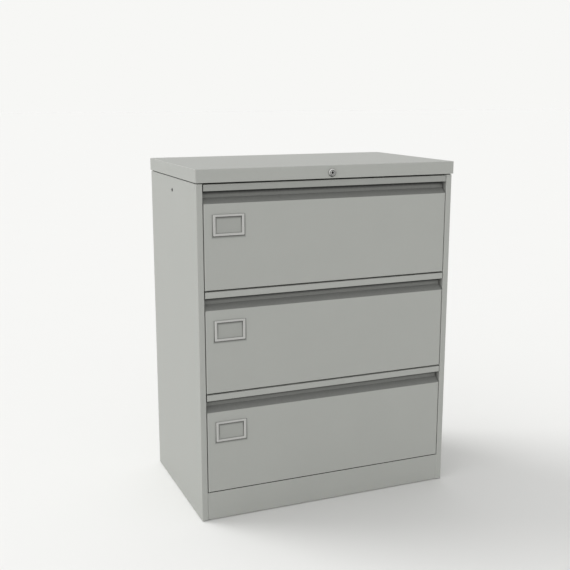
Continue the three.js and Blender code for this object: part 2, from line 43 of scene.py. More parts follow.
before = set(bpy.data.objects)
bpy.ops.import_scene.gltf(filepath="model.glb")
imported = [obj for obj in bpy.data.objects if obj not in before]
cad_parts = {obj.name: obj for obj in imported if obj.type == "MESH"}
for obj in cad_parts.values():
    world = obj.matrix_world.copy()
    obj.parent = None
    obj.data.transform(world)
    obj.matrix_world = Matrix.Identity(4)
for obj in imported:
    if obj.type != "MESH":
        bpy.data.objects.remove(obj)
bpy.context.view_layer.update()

MM = 0.001
SEAT = 0.3 * MM  # between faces that rest on each other
TOUCHING = 1e-6  # points closer than this are one point
ON_PLANE = 0.02 * MM  # a point this close to a plane is on it
NARROW = 1.2 * MM  # a face that is narrower than this is part of a fold
EDGE = 1.2 * MM  # a gauge and a little more
RAIL_FOOT = 1.4 * MM  # thickness of the feet under the file rails
SIDES = {"left": -1, "right": 1}
DRAWERS = (1, 2, 3)


# Sizes and colours that a user would change


def length(name, description, millimetres):
    return FloatProperty(
        name=name, description=description, default=millimetres * MM, min=0, subtype="DISTANCE", unit="LENGTH"
    )


def colour(name, description, value):
    return FloatVectorProperty(
        name=name, description=description, default=value, min=0, max=1, size=3, subtype="COLOR"
    )


class SheetSettings(bpy.types.PropertyGroup):
    """Gauges and bends of the folded sheet."""

    gauge: length("Gauge", "Thickness of the panels, fronts and trays", 1)
    post_gauge: length("Post gauge", "Thickness of the runner posts", 1.5)
    runner_gauge: length("Runner gauge", "Thickness of the runner members", 1.2)
    bend: length("Bend", "Outside radius of a fold", 1.7)
    steps: IntProperty(name="Bend steps", description="Flats in a quarter turn of a fold", default=6, min=2)


class DetailSettings(bpy.types.PropertyGroup):
    """Fixings, slots and pressed ribs."""

    screw_head: length("Screw head", "Diameter of a pan head", 8)
    screw_rise: length("Screw rise", "Height of a pan head", 2.3)
    slot_pitch: length("Slot pitch", "Distance between slots in a post", 25)
    slot_length: length("Slot length", "Length of a slot in a post", 11)
    slot_width: length("Slot width", "Width of a slot in a post", 4)
    rib_width: length("Rib width", "Width of a rib pressed into a tray's floor", 9)
    rib_rise: length("Rib rise", "Height of a rib pressed into a tray's floor", 1.3)
    weld: length("Weld mark", "Diameter of a spot weld's mark", 6)
    thread: length("Thread pitch", "Pitch of the feet's thread", 1.5)


class FinishSettings(bpy.types.PropertyGroup):
    """Colours of the finishes."""

    paint: colour("Powder coat", "Light grey of the painted sheet", (0.424, 0.433, 0.408))
    holder: colour("Card holder", "Paler grey of the card holders", (0.52, 0.52, 0.502))
    zinc: colour("Zinc", "Bright zinc plate on runners, rails and rods", (0.60, 0.61, 0.62))
    chrome: colour("Chrome", "Plate on the lock", (0.62, 0.62, 0.61))
    nylon: colour("Nylon", "Moulded pads of the feet", (0.022, 0.022, 0.023))


class StageSettings(bpy.types.PropertyGroup):
    """Floor, light and camera."""

    floor: colour("Floor", "Pale floor, as the camera and shiny faces see it", (0.806, 0.806, 0.7925))
    bounce: colour("Bounce", "Floor as it lights the cabinet", (0.93, 0.93, 0.914))
    backdrop: colour("Backdrop", "What the camera and shiny faces see behind the cabinet", (0.93, 0.93, 0.913))
    dome: FloatProperty(name="Dome", description="Level of the light from all round", default=1.18, min=0)
    lean: FloatVectorProperty(
        name="Lean", description="Share by which the dome is brighter along each axis", default=(-0.4, 0.2, -0.35)
    )
    lamp: FloatProperty(name="Lamp", description="Strength of the soft lamp that lights the floor", default=1.8, min=0)
    spread: FloatProperty(
        name="Spread", description="Angular size of the soft lamp", default=math.radians(40), subtype="ANGLE"
    )
    lens: FloatProperty(name="Lens", description="Focal length on a 36 mm sensor", default=57.42, unit="CAMERA")


class CabinetSettings(bpy.types.PropertyGroup):
    """Everything that can be set on the cabinet and its stage."""

    sheet: PointerProperty(type=SheetSettings)
    detail: PointerProperty(type=DetailSettings)
    finish: PointerProperty(type=FinishSettings)
    stage: PointerProperty(type=StageSettings)


def settings():
    return bpy.context.scene.filing_cabinet


# Node trees, for materials and for geometry


class Link:
    """An output socket of a node tree. Maths on it adds Math nodes."""

    def __init__(self, nodes, socket):
        self.nodes = nodes
        self.socket = socket

    def also(self, name):
        """Another output of the same node."""
        return Link(self.nodes, self.socket.node.outputs[name])

    def maths(self, operation, first, second):
        return self.nodes.add("ShaderNodeMath", {"operation": operation}, {0: first, 1: second})

    def __add__(self, other):
        return self.maths("ADD", self, other)

    def __sub__(self, other):
        return self.maths("SUBTRACT", self, other)

    def __rsub__(self, other):
        return self.maths("SUBTRACT", other, self)

    def __mul__(self, other):
        return self.maths("MULTIPLY", self, other)

    __radd__ = __add__
    __rmul__ = __mul__


class Nodes:
    """A node tree that is added to one node at a time."""

    def __init__(self, tree):
        self.tree = tree
        tree.nodes.clear()

    def add(self, kind, options=None, inputs=None, output=0, **named):
        """Adds a node. Its sockets are set or linked by number, or by name with _ for a space."""
        node = self.tree.nodes.new(kind)
        for name, value in (options or {}).items():
            setattr(node, name, value)
        by_name = {name.replace("_", " "): value for name, value in named.items()}
        for key, value in {**(inputs or {}), **by_name}.items():
            for item in value if isinstance(value, list) else [value]:
                if isinstance(item, Link):
                    self.tree.links.new(item.socket, node.inputs[key])
                else:
                    node.inputs[key].default_value = item
        return Link(self, node.outputs[output]) if len(node.outputs) else None

    def blend(self, share, first, second):
        """Mix of two colours."""
        return self.add("ShaderNodeMix", {"data_type": "RGBA"}, {0: share, 6: first, 7: second}, 2)

    def place(self):
        """Object coordinates."""
        return self.add("ShaderNodeTexCoord", output=3)

    def stored(self, name):
        """A value that the mesh stores at its points."""
        return self.add("ShaderNodeAttribute", {"attribute_name": name}, output=2)

    def noise(self, place, scale, detail=2.0, roughness=0.5):
        return self.add("ShaderNodeTexNoise", Vector=place, Scale=scale, Detail=detail, Roughness=roughness)

    def relief(self, strength, depth, height, **under):
        return self.add("ShaderNodeBump", Strength=strength, Distance=depth, Height=height, **under)

    def shade(self, **inputs):
        """Ends a material in a shader with these inputs."""
        self.add("ShaderNodeOutputMaterial", Surface=self.add("ShaderNodeBsdfPrincipled", **inputs))


# Finishes


def shaded(value, factor):
    return (*(min(1.0, channel * factor) for channel in value), 1)


def new_finish(name):
    material = bpy.data.materials.new(name)
    material.use_nodes = True
    return material, Nodes(material.node_tree)


def powder_coat(nodes, place, value):
    """Satin powder coat with fine orange peel and mottling: paler on folds, partly from edge wear and partly as a
    painted highlight, and darker and duller where painted shade is set.
    """
    cloud = nodes.noise(place, 7.0, 3.0)
    mottle = nodes.noise(place, 140.0)
    peel = nodes.noise(place, 620.0, roughness=0.6)
    grain = nodes.noise(place, 2600.0, 1.0)
    thin = nodes.stored("thin")
    # paler folds: partly edge wear, partly a painted highlight
    worn_and_highlit = nodes.stored("fold") * (0.35 + 0.65 * cloud)
    tone = nodes.blend(0.6 * cloud + 0.25 * mottle + 0.15 * grain, shaded(value, 0.955), shaded(value, 1.045))
    # painted shade: darkens the colour where the thin attribute is set
    with_painted_shade = nodes.blend(thin * (0.9 + 0.2 * mottle), tone, shaded(value, 0.1))
    base = nodes.blend(worn_and_highlit * (1 - thin) * 0.6, with_painted_shade, shaded(value, 1.25))
    ripple = nodes.relief(0.16, 0.3 * MM, peel)
    speckle = nodes.relief(0.1, 0.1 * MM, grain, Normal=ripple)
    dull = 0.43 + 0.1 * cloud + 0.05 * mottle - 0.08 * worn_and_highlit + 0.35 * thin
    nodes.shade(Base_Color=base, Roughness=dull, Normal=speckle)


def zinc_plate(nodes, place, value):
    """Bright zinc plate on rolled steel: faint drawn streaks and a slight cloud of blue and straw."""
    drawn = nodes.add("ShaderNodeMapping", Vector=place, Scale=(1.0, 0.04, 1.0))
    streak = nodes.noise(drawn, 900.0)
    cloud = nodes.noise(place, 22.0, 3.0)
    pit = nodes.noise(place, 1500.0, 1.0)
    straw = (value[0] * 1.03, value[1], value[2] * 0.94, 1)
    blue = (value[0] * 0.95, value[1] * 0.99, value[2] * 1.03, 1)
    base = nodes.blend(0.25 * streak, nodes.blend(cloud, blue, straw), shaded(value, 0.7))
    relief = nodes.relief(0.12, 0.15 * MM, 0.7 * streak + 0.3 * pit)
    dull = 0.28 + 0.16 * cloud + 0.1 * streak
    nodes.shade(Base_Color=base, Metallic=1.0, Roughness=dull, Normal=relief)


def chrome_plate(nodes, place, value):
    """Polished plate with fine wipe marks, darkened by painted shade in the groove round the plug, on the rim's lower
    right and in the keyway.
    """
    cloud = nodes.noise(place, 160.0, 3.0)
    wiped = nodes.add("ShaderNodeMapping", Vector=place, Rotation=(0, 0.6, 0), Scale=(0.1, 1.0, 1.0))
    scratch = nodes.noise(wiped, 5200.0)
    bright = nodes.blend(cloud, shaded(value, 0.9), shaded(value, 1.08))
    thin = nodes.stored("thin")
    # painted shade where the thin attribute is set
    base = nodes.blend(thin, bright, shaded(value, 0.06))
    relief = nodes.relief(0.05, 0.05 * MM, scratch)
    dull = 0.1 + 0.1 * cloud + 0.05 * scratch + 0.4 * thin
    nodes.shade(Base_Color=base, Metallic=1.0, Roughness=dull, Normal=relief)


def moulded_nylon(nodes, place, value):
    """Matt moulded nylon with a fine spark-eroded grain."""
    cloud = nodes.noise(place, 90.0, 3.0)
    base = nodes.blend(cloud * 0.5, shaded(value, 0.8), shaded(value, 2.2))
    relief = nodes.relief(0.25, 0.1 * MM, nodes.noise(place, 1900.0))
    nodes.shade(Base_Color=base, Roughness=0.5 + 0.2 * cloud, Normal=relief)


FINISHES = {  # how each is made, and its slot in the record
    "paint": (powder_coat, "grey_paint"),
    "holder": (powder_coat, "grey_paint"),
    "zinc": (zinc_plate, "zinc_plate"),
    "chrome": (chrome_plate, "chrome"),
    "nylon": (moulded_nylon, "black_nylon"),
}


def finish(name):
    """The named finish, made the first time that a piece asks for it."""
    label = f"cabinet_{name}"
    if label not in bpy.data.materials:
        _, nodes = new_finish(label)
        FINISHES[name][0](nodes, nodes.place(), tuple(getattr(settings().finish, name)))
    return bpy.data.materials[label]


# Sections: pairs of numbers drawn out along the remaining axis

ACROSS = {"X": (1, 2, 0), "Y": (0, 2, 1), "Z": (0, 1, 2)}
FULL_TURN = 2 * math.pi
QUARTER_TURN = math.pi / 2
STRAIGHT = 1e-6  # a turn smaller than this is no fold


def spot(axis, pair, along):
    point = [0.0, 0.0, 0.0]
    for index, value in zip(ACROSS[axis], (*pair, along)):
        point[index] = value
    return point


def fold_rows(path, gauge, bend, steps):
    """Section of a folded sheet as two matching rows of points. The path follows one face, metal to its left."""
    points = [Vector(p) for p in path]
    ways = [(b - a).normalized() for a, b in zip(points, points[1:])]
    lefts = [Vector((-way.y, way.x)) for way in ways]
    face = [points[0]]
    back = [points[0] + lefts[0] * gauge]
    for point, before, after in zip(points[1:-1], lefts, lefts[1:]):
        turn = math.atan2(before.x * after.y - before.y * after.x, before.dot(after))
        if abs(turn) < STRAIGHT:
            face.append(point)
            back.append(point + before * gauge)
            continue
        inward = 1 if turn > 0 else -1
        near = bend if turn > 0 else bend - gauge
        far = bend - gauge if turn > 0 else bend
        centre = point + (before + after) * (inward * near / (1 + before.dot(after)))
        count = max(2, round(steps * abs(turn) / QUARTER_TURN))
        for k in range(count + 1):
            spoke = Matrix.Rotation(turn * k / count, 2) @ (before * -inward)
            face.append(centre + spoke * near)
            back.append(centre + spoke * far)
    face.append(points[-1])
    back.append(points[-1] + lefts[-1] * gauge)
    return face, back


def sided(path, side):
    """The path as drawn for the right side, or its mirror image for the left."""
    return path if side > 0 else [(-u, v) for u, v in reversed(path)]


def arc(centre, radius, start, turn, steps):
    """Points on a circle, both ends counted."""
    angles = [start + turn * k / steps for k in range(steps + 1)]
    return [(centre[0] + radius * math.cos(a), centre[1] + radius * math.sin(a)) for a in angles]


def round_box(low, high, radius, steps=4):
    """Outline of a rectangle with round corners."""
    inner = [(a + radius, b - radius) for a, b in zip(low, high)]
    outline = []
    for quarter, (u, v) in enumerate(((1, 1), (0, 1), (0, 0), (1, 0))):
        outline += arc((inner[0][u], inner[1][v]), radius, quarter * QUARTER_TURN, QUARTER_TURN, steps)
    return outline


def box_corners(low, high):
    """Corners of a rectangle, from the lower left anticlockwise."""
    return [(low[0], low[1]), (high[0], low[1]), (high[0], high[1]), (low[0], high[1])]


def band(a, b):
    """Faces between two rings of points."""
    count = len(a)
    return [(a[k], a[(k + 1) % count], b[(k + 1) % count], b[k]) for k in range(count)]


def linked(name, data):
    """Object of some data, in the scene."""
    made = bpy.data.objects.new(name, data)
    bpy.context.scene.collection.objects.link(made)
    return made


def object_of(bm, name):
    """Object of a finished bmesh, which is used up."""
    mesh = bpy.data.meshes.new(name)
    bm.to_mesh(mesh)
    bm.free()
    return linked(name, mesh)


class Work:
    """Mesh under construction. Its methods add closed solids, in metres, where they stand."""

    def __init__(self):
        self.bm = bmesh.new()

    def row(self, axis, pairs, along):
        return [self.bm.verts.new(spot(axis, pair, along)) for pair in pairs]

    def faces(self, corners):
        made = [self.bm.faces.new(face) for face in corners]
        bmesh.ops.recalc_face_normals(self.bm, faces=made)
        return self

    def fold(self, axis, path, span, gauge=None, bend=None):
        """Folded sheet drawn out along an axis."""
        sheet = settings().sheet
        face, back = fold_rows(path, gauge or sheet.gauge, bend or sheet.bend, sheet.steps)
        (f0, b0), (f1, b1) = [[self.row(axis, pairs, along) for pairs in (face, back)] for along in span]
        quads = [(f0[0], f1[0], b1[0], b0[0]), (f0[-1], b0[-1], b1[-1], f1[-1])]
        for i in range(len(face) - 1):
            j = i + 1
            quads += [(f0[i], f0[j], f1[j], f1[i]), (b0[j], b0[i], b1[i], b1[j])]
            quads += [(f0[j], f0[i], b0[i], b0[j]), (f1[i], f1[j], b1[j], b1[i])]
        return self.faces(quads)

    def prism(self, axis, outline, span):
        """Solid of a closed outline drawn out along an axis."""
        near, far = [self.row(axis, outline, along) for along in span]
        return self.faces([near, far, *band(near, far)])

    def box(self, low, high, axis="X", radius=0.2 * MM):
        """Rectangular bar with eased long edges."""
        u, v, w = ACROSS[axis]
        outline = round_box((low[u], low[v]), (high[u], high[v]), radius, 2)
        return self.prism(axis, outline, (low[w], high[w]))

    def turned(self, axis, profile, centre, sides=48, ring=False):
        """Solid turned about an axis through centre. The profile holds radius and place along the axis."""
        rings = []
        for radius, along in profile:
            pairs = arc(centre, radius, 0, FULL_TURN, sides)
            rings.append(self.row(axis, pairs[: sides if radius else 1], along))
        faces = []
        for low, high in zip(rings, rings[1:] + rings[:1] if ring else rings[1:]):
            for k in range(sides):
                n = k + 1
                corners = [low[k % len(low)], low[n % len(low)], high[n % len(high)], high[k % len(high)]]
                faces.append(list(dict.fromkeys(corners)))
        return self.faces([face for face in faces if len(face) > 2])

    def drill(self, axis, radius, span, centre, sides=32):
        """Plain cylinder, to cut a hole with."""
        near, far = span
        return self.turned(axis, [(0, near), (radius, near), (radius, far), (0, far)], centre, sides)

    def film(self, near, far, span, closed=True):
        """Thin sheet between two lines of points, given as X and Z, on a face that looks along Y; it carries painted
        shade.
        """
        rows = [self.row("Y", line, y) for y in span for line in (near, far)]
        quads = []
        for a, b in ((0, 1), (1, 3), (3, 2), (2, 0)):
            quads += band(rows[a], rows[b])[: None if closed else -1]
        if not closed:
            quads += [[rows[r][k] for r in (0, 1, 3, 2)] for k in (0, -1)]
        return self.faces(quads)

    def object(self, name):
        return object_of(self.bm, name)

    def finished(self, name, body, coat, *nodes, **how):
        return finished(self.object(name), name, body, coat, *nodes, **how)


def settle(obj):
    """Turns an object and its modifiers into one plain mesh."""
    graph = bpy.context.evaluated_depsgraph_get()
    mesh = bpy.data.meshes.new_from_object(obj.evaluated_get(graph))
    old = obj.data
    obj.modifiers.clear()
    obj.data = mesh
    bpy.data.meshes.remove(old)
    return obj


def modify(obj, kind, **options):
    """Adds a modifier."""
    modifier = obj.modifiers.new(kind.lower(), kind)
    for name, value in options.items():
        setattr(modifier, name, value)
    return modifier


def cut(obj, *works):
    """Cuts solids out of an object."""
    tools = [work.object("tool") for work in works]
    for tool in tools:
        modify(obj, "BOOLEAN", operation="DIFFERENCE", solver="EXACT", object=tool)
    settle(obj)
    for tool in tools:
        mesh = tool.data
        bpy.data.objects.remove(tool)
        bpy.data.meshes.remove(mesh)
    return obj


def pan(low, high, mouth, rims=None):
    """Folded tray of sheet, open upwards (mouth 1) or downwards (mouth -1), with a rim folded inwards."""
    sheet = settings().sheet
    shut, wide = (low[2], high[2]) if mouth > 0 else (high[2], low[2])
    bm = bmesh.new()

    def ring(side, end, z):
        corners = box_corners((low[0] + side, low[1] + end), (high[0] - side, high[1] - end))
        return [bm.verts.new((x, y, z)) for x, y in corners]

    rows = [ring(0, 0, shut), ring(0, 0, wide)]
    if rims:
        rows.append(ring(*rims, wide))
    bm.faces.new(rows[0])
    for a, b in zip(rows, rows[1:]):
        for k in range(4):
            bm.faces.new((a[k], a[k - 1], b[k - 1], b[k]))
    bmesh.ops.recalc_face_normals(bm, faces=bm.faces)
    bm.faces.ensure_lookup_table()
    if bm.faces[0].normal.z * mouth > 0:
        bmesh.ops.reverse_faces(bm, faces=bm.faces)
    corners = set(rows[0] + rows[1])
    folds = [e for e in bm.edges if len(e.link_faces) == 2 and set(e.verts) <= corners]
    bend = {"offset": sheet.bend, "segments": sheet.steps, "profile": 0.5}
    bmesh.ops.bevel(bm, geom=folds, affect="EDGES", clamp_overlap=False, **bend)
    obj = object_of(bm, "pan")
    modify(obj, "SOLIDIFY", thickness=sheet.gauge, offset=-1, use_even_offset=True)
    return settle(obj)


def eased(node, width):
    """Copy of a CAD node with its edges broken."""
    bm = bmesh.new()
    bm.from_mesh(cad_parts[node].data)
    bmesh.ops.remove_doubles(bm, verts=bm.verts, dist=TOUCHING)
    bmesh.ops.dissolve_limit(bm, angle_limit=math.radians(1), verts=bm.verts, edges=bm.edges)
    obj = object_of(bm, f"{node}_piece")
    modify(obj, "BEVEL", width=width, segments=2, limit_method="ANGLE", angle_limit=math.radians(40))
    return settle(obj)


def store(mesh, name, values):
    """Stores a value at each point, for the finishes."""
    mesh.attributes.new(name, "FLOAT", "POINT").data.foreach_set("value", values)


def bent_points(mesh):
    """1 where the sheet is bent: at points whose faces are all narrow."""
    bent = [1.0] * len(mesh.vertices)
    for face in mesh.polygons:
        corners = [mesh.vertices[i].co for i in face.vertices]
        longest = max((a - b).length for a, b in zip(corners, corners[1:] + corners[:1]))
        if face.area >= NARROW * longest:
            for i in face.vertices:
                bent[i] = 0.0
    return bent


def finished(obj, name, body, coat, *nodes, smooth=38, thin=None):
    """Gives an object its normals, finish, body and the CAD nodes that it stands for."""
    obj.name = name
    obj.data.name = name
    obj.data.shade_smooth()
    obj.data.set_sharp_from_angle(angle=math.radians(smooth))
    modify(obj, "WEIGHTED_NORMAL", keep_sharp=True)
    settle(obj)
    store(obj.data, "fold", bent_points(obj.data))
    # amount of painted shade at each point, which the finishes read
    store(obj.data, "thin", [thin(vertex.co) if thin else 0.0 for vertex in obj.data.vertices])
    obj.data.materials.clear()
    obj.data.materials.append(finish(coat))
    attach(obj, body)
    if nodes:
        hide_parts(*nodes)
    return obj


# Geometry Nodes, for what repeats


class Tree(Nodes):
    """A geometry tree with named inputs. run() leaves a plain mesh on the object."""

    KINDS = {int: "Int", float: "Float", tuple: "Vector"}

    def __init__(self, name, **sizes):
        super().__init__(bpy.data.node_groups.new(name, "GeometryNodeTree"))
        self.socket("Geometry", "Geometry")
        for label, value in sizes.items():
            self.socket(label, self.KINDS[type(value)]).default_value = value
        self.socket("Material", "Material")
        self.socket("Geometry", "Geometry", "OUTPUT")
        self.given = self.tree.nodes.new("NodeGroupInput")

    def socket(self, name, kind, way="INPUT"):
        return self.tree.interface.new_socket(name, in_out=way, socket_type=f"NodeSocket{kind}")

    def values(self, *names):
        return [Link(self, self.given.outputs[name]) for name in names]

    def xyz(self, x, y, z):
        return self.add("ShaderNodeCombineXYZ", None, {0: x, 1: y, 2: z})

    def block(self, x, y, z):
        return self.add("GeometryNodeMeshCube", Size=self.xyz(x, y, z))

    def moved(self, shape, **how):
        return self.add("GeometryNodeTransform", Geometry=shape, **how)

    def raised(self, shape, height):
        return self.moved(shape, Translation=self.xyz(0.0, 0.0, height))

    def boolean(self, operation, **meshes):
        return self.add("GeometryNodeMeshBoolean", {"operation": operation, "solver": "EXACT"}, **meshes)

    def close(self, geometry):
        (material,) = self.values("Material")
        real = self.add("GeometryNodeRealizeInstances", Geometry=geometry)
        self.add("NodeGroupOutput", Geometry=self.add("GeometryNodeSetMaterial", Geometry=real, Material=material))
        return self

    def on_points(self, shape):
        """Ends the tree with a shape on each incoming point, its Z along the point's facing."""
        (mesh,) = self.values("Geometry")
        facing = self.add("GeometryNodeInputNamedAttribute", {"data_type": "FLOAT_VECTOR"}, Name="facing")
        turn = self.add("FunctionNodeAlignRotationToVector", {"axis": "Z"}, Vector=facing)
        points = self.add("GeometryNodeMeshToPoints", Mesh=mesh)
        return self.close(self.add("GeometryNodeInstanceOnPoints", Points=points, Instance=shape, Rotation=turn))

    def run(self, obj, coat, **sizes):
        modifier = modify(obj, "NODES", node_group=self.tree)
        sizes["Material"] = finish(coat)
        for item in self.tree.interface.items_tree:
            if item.in_out == "INPUT" and item.name in sizes:
                modifier[item.identifier] = sizes[item.name]
        return settle(obj)


TREES = {}


def tree(maker):
    """The tree that a maker builds, built once."""
    if maker not in TREES:
        TREES[maker] = maker()
    return TREES[maker]


def pan_head_screws():
    """Pan heads with a cross recess, one on each point."""
    made = Tree("Pan head screws", Head=8 * MM, Rise=2.3 * MM)
    head, rise = made.values("Head", "Rise")
    ball = made.add("GeometryNodeMeshUVSphere", Segments=20, Rings=10, Radius=0.5)
    dome = made.moved(ball, Scale=made.xyz(head, head, 2 * rise))
    upper = made.raised(made.block(2 * head, 2 * head, 2 * rise), rise)
    whole = made.boolean("INTERSECT", Mesh_2=[dome, upper])
    slim, long = 0.11, 0.55  # of a bar of the cross, as shares of the head
    cross = [made.raised(made.block(head * x, head * y, rise), rise) for x, y in ((slim, long), (long, slim))]
    return made.on_points(made.boolean("DIFFERENCE", Mesh_1=whole, Mesh_2=cross))


def weld_marks():
    """Shallow round marks of spot welds, one on each point."""
    made = Tree("Spot welds", Width=6 * MM, Rise=0.12 * MM)
    width, rise = made.values("Width", "Rise")
    cones = []
    for top, bottom in ((0.36, 0.5), (0.3, 0.12)):  # ring and dent, as shares of the width
        sizes = {"Vertices": 20, "Radius Top": width * top, "Radius Bottom": width * bottom, "Depth": rise}
        cones.append(made.add("GeometryNodeMeshCone", {"fill_type": "NGON"}, sizes))
    ring, dent = cones
    return made.on_points(made.boolean("DIFFERENCE", Mesh_1=ring, Mesh_2=made.raised(dent, rise * 0.5)))


def rounded_bar(made, tall, crowned=False):
    """Closed bar with round ends, its base on Z 0, long along X. A crowned one is narrower at the top."""
    long, wide = made.values("Length", "Width")
    plan = made.add("GeometryNodeCurvePrimitiveQuadrilateral", {"mode": "RECTANGLE"}, Width=long, Height=wide)
    ends = made.add("GeometryNodeFilletCurve", {"mode": "POLY"}, Curve=plan, Count=5, Radius=wide * 0.49)
    base = made.add("GeometryNodeFillCurve", {"mode": "NGONS"}, Curve=ends)
    bar = made.add("GeometryNodeExtrudeMesh", Mesh=base, Offset_Scale=tall, Individual=False)
    if crowned:
        narrowed = {"Selection": bar.also("Top"), "Scale": 0.55}
        drawn_out = {**narrowed, "Scale": 1.79, "Axis": (1.0, 0.0, 0.0)}
        bar = made.add("GeometryNodeScaleElements", Geometry=bar, **narrowed)
        bar = made.add("GeometryNodeScaleElements", {"scale_mode": "SINGLE_AXIS"}, Geometry=bar, **drawn_out)
    under = made.add("GeometryNodeFlipFaces", Mesh=base)
    both = made.add("GeometryNodeJoinGeometry", Geometry=[bar, under])
    return made.add("GeometryNodeMergeByDistance", Geometry=both, Distance=TOUCHING)


def floor_ribs():
    """Ribs pressed up into a tray's floor, one on each point, running front to back."""
    made = Tree("Pressed ribs", Length=300 * MM, Width=9 * MM, Rise=1.3 * MM)
    (rise,) = made.values("Rise")
    return made.on_points(made.moved(rounded_bar(made, rise, True), Rotation=(0.0, 0.0, QUARTER_TURN)))


def slot_rows():
    """A row of round-ended slots through the incoming sheet, across X."""
    row = {"Start": (0.0, 0.0, 0.0), "Step": (0.0, 0.0, 25 * MM), "Count": 10, "Turn": (0.0, 0.0, 0.0)}
    made = Tree("Slots", **row, Length=11 * MM, Width=4 * MM, Depth=12 * MM)
    sheet, start, step, count, turn, depth = made.values("Geometry", *row, "Depth")
    middle = made.raised(rounded_bar(made, depth), depth * -0.5)
    tool = made.moved(middle, Rotation=turn)
    line = made.add("GeometryNodeMeshLine", {"mode": "OFFSET"}, Count=count, Start_Location=start, Offset=step)
    tools = made.add("GeometryNodeInstanceOnPoints", Points=line, Instance=tool)
    tools = made.add("GeometryNodeRealizeInstances", Geometry=tools)
    return made.close(made.boolean("DIFFERENCE", Mesh_1=sheet, Mesh_2=tools))


UP_SLOT = (0.0, QUARTER_TURN, 0.0)  # through X, long along Z
ALONG_SLOT = (QUARTER_TURN, 0.0, QUARTER_TURN)  # through X, long along Y


def repeated(maker, places, name, body, coat, **sizes):
    """Piece with a tree's shape at each place, which is a point and the way that it faces."""
    mesh = bpy.data.meshes.new(name)
    mesh.from_pydata([place for place, _ in places], [], [])
    facing = mesh.attributes.new("facing", "FLOAT_VECTOR", "POINT")
    facing.data.foreach_set("vector", [value for _, way in places for value in way])
    finished(tree(maker).run(linked(name, mesh), coat, **sizes), name, body, coat)


# Where the cabinet's main planes are, read from the frame

LID_LOW, LID_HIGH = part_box("top_panel")
SIDE_LOW, SIDE_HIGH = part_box("right_side_panel")
FRONT, BACK, HALF = SIDE_LOW.y, SIDE_HIGH.y, SIDE_HIGH.x
STILE, STILE_RETURN, BACK_FLANGE = 18 * MM, 22 * MM, 17 * MM
OPENING = HALF - STILE
FLANGE_START = FRONT + 30 * MM
BODY_TOP = LID_LOW.z - 2.4 * MM
LOCK_LOW, LOCK_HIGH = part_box("lock_housing")
LOCK_X = (LOCK_LOW.x + LOCK_HIGH.x) / 2
LOCK_Z = (LOCK_LOW.z + LOCK_HIGH.z) / 2
LOCK = (LOCK_X, LOCK_Z)
RAIL_FRONT = -203.8 * MM


class CABINET_OT_lid(bpy.types.Operator):
    """Lid: a shallow pan turned upside down, its lower edge folded inwards"""

    bl_idname = "cabinet.lid"
    bl_label = "Lid"

    RIMS = (11 * MM, 13 * MM)  # folded in at the ends, and at front and back
    GAP = Vector((0, 0, 0.5 * MM))  # taken off the lower edge, so that the gap shows
    LOCK_HOLE = 9.3 * MM

    def execute(self, context):
        gauge = settings().sheet.gauge
        inside = LID_HIGH.x - gauge
        low = (-inside, LID_LOW.y + self.RIMS[1], LID_LOW.z - MM)
        notch = Work().box(low, (inside, FLANGE_START, LID_LOW.z + 2 * gauge))
        hole = Work().drill("Y", self.LOCK_HOLE, (LID_LOW.y - MM, LID_LOW.y + 2 * gauge), LOCK)
        obj = cut(pan(LID_LOW + self.GAP, LID_HIGH, -1, self.RIMS), notch, hole)
        finished(obj, "lid", "carcass", "paint", "top_panel")
        return {"FINISHED"}


class CABINET_OT_sides(bpy.types.Operator):
    """Side panels: stile, web and back flange in one fold, flanges at top and bottom, and a bushed hole"""

    bl_idname = "cabinet.sides"
    bl_label = "Side panels"

    STEP, STEP_BEND = 4 * MM, 1.3 * MM  # in from the outside, under the lid
    LIP = (FRONT + 1.3 * MM, FRONT + 18 * MM)  # ends of the short step in front of the long one
    LIP_TOP = LID_LOW.z + 0.2 * MM
    HOLE, HOLE_CENTRE = 4.5 * MM, (FRONT + 238 * MM, BODY_TOP - 37 * MM)
    # painted shade on the step under the lid and on the stiles' returns
    THIN_STEP, THIN_RETURN = 0.9, 0.55
    BUSH = [(3.2, -2), (3.2, 0.7), (4.9, 0.7), (5.3, 0.4), (5.3, 0), (4.5, 0), (4.5, -2)]

    def execute(self, context):
        gauge = settings().sheet.gauge
        web, step, flange = HALF - gauge, HALF - self.STEP, HALF - BACK_FLANGE
        plan = [(OPENING, FRONT + STILE_RETURN), (OPENING, FRONT), (HALF, FRONT), (HALF, BACK), (flange, BACK)]
        seat = [(web, BODY_TOP), (step, BODY_TOP), (step, SIDE_HIGH.z), (flange, SIDE_HIGH.z)]
        lip = [*seat[:2], (step, self.LIP_TOP)]
        run = (FLANGE_START, BACK - gauge - SEAT)
        for name, side in SIDES.items():
            work = Work().fold("Z", sided(plan, side), (SIDE_LOW.z, BODY_TOP))
            for path, span in ((seat, run), (lip, self.LIP)):
                work.fold("Y", sided(path, side), span, bend=self.STEP_BEND)
            x = sorted((side * flange, side * web))
            work.box((x[0], run[0], SIDE_LOW.z), (x[1], run[1], SIDE_LOW.z + gauge), "Y")
            through = [side * (HALF + d * gauge) for d in (-3, 2)]
            obj = cut(work.object(name), Work().drill("X", self.HOLE, through, self.HOLE_CENTRE))
            finished(obj, f"side_{name}", "carcass", "paint", f"{name}_side_panel", thin=self.coat)
            rows = [(r * MM, side * (HALF + d * MM)) for r, d in self.BUSH]
            bush = Work().turned("X", rows, self.HOLE_CENTRE, 32, ring=True)
            bush.finished(f"side_bush_{name}", "carcass", "nylon", smooth=50)
        return {"FINISHED"}

    def coat(self, point):
        """Painted shade: dark on the step under the lid, and lighter on the stiles' returns beside the drawer fronts.
        """
        inwards = HALF - abs(point.x)
        if point.z > BODY_TOP - EDGE and self.STEP / 2 < inwards < self.STEP + EDGE:
            return self.THIN_STEP
        behind = point.y - FRONT - settings().sheet.bend
        return self.THIN_RETURN if behind > 0 > point.y and inwards > BACK_FLANGE - 0.2 * MM else 0.0


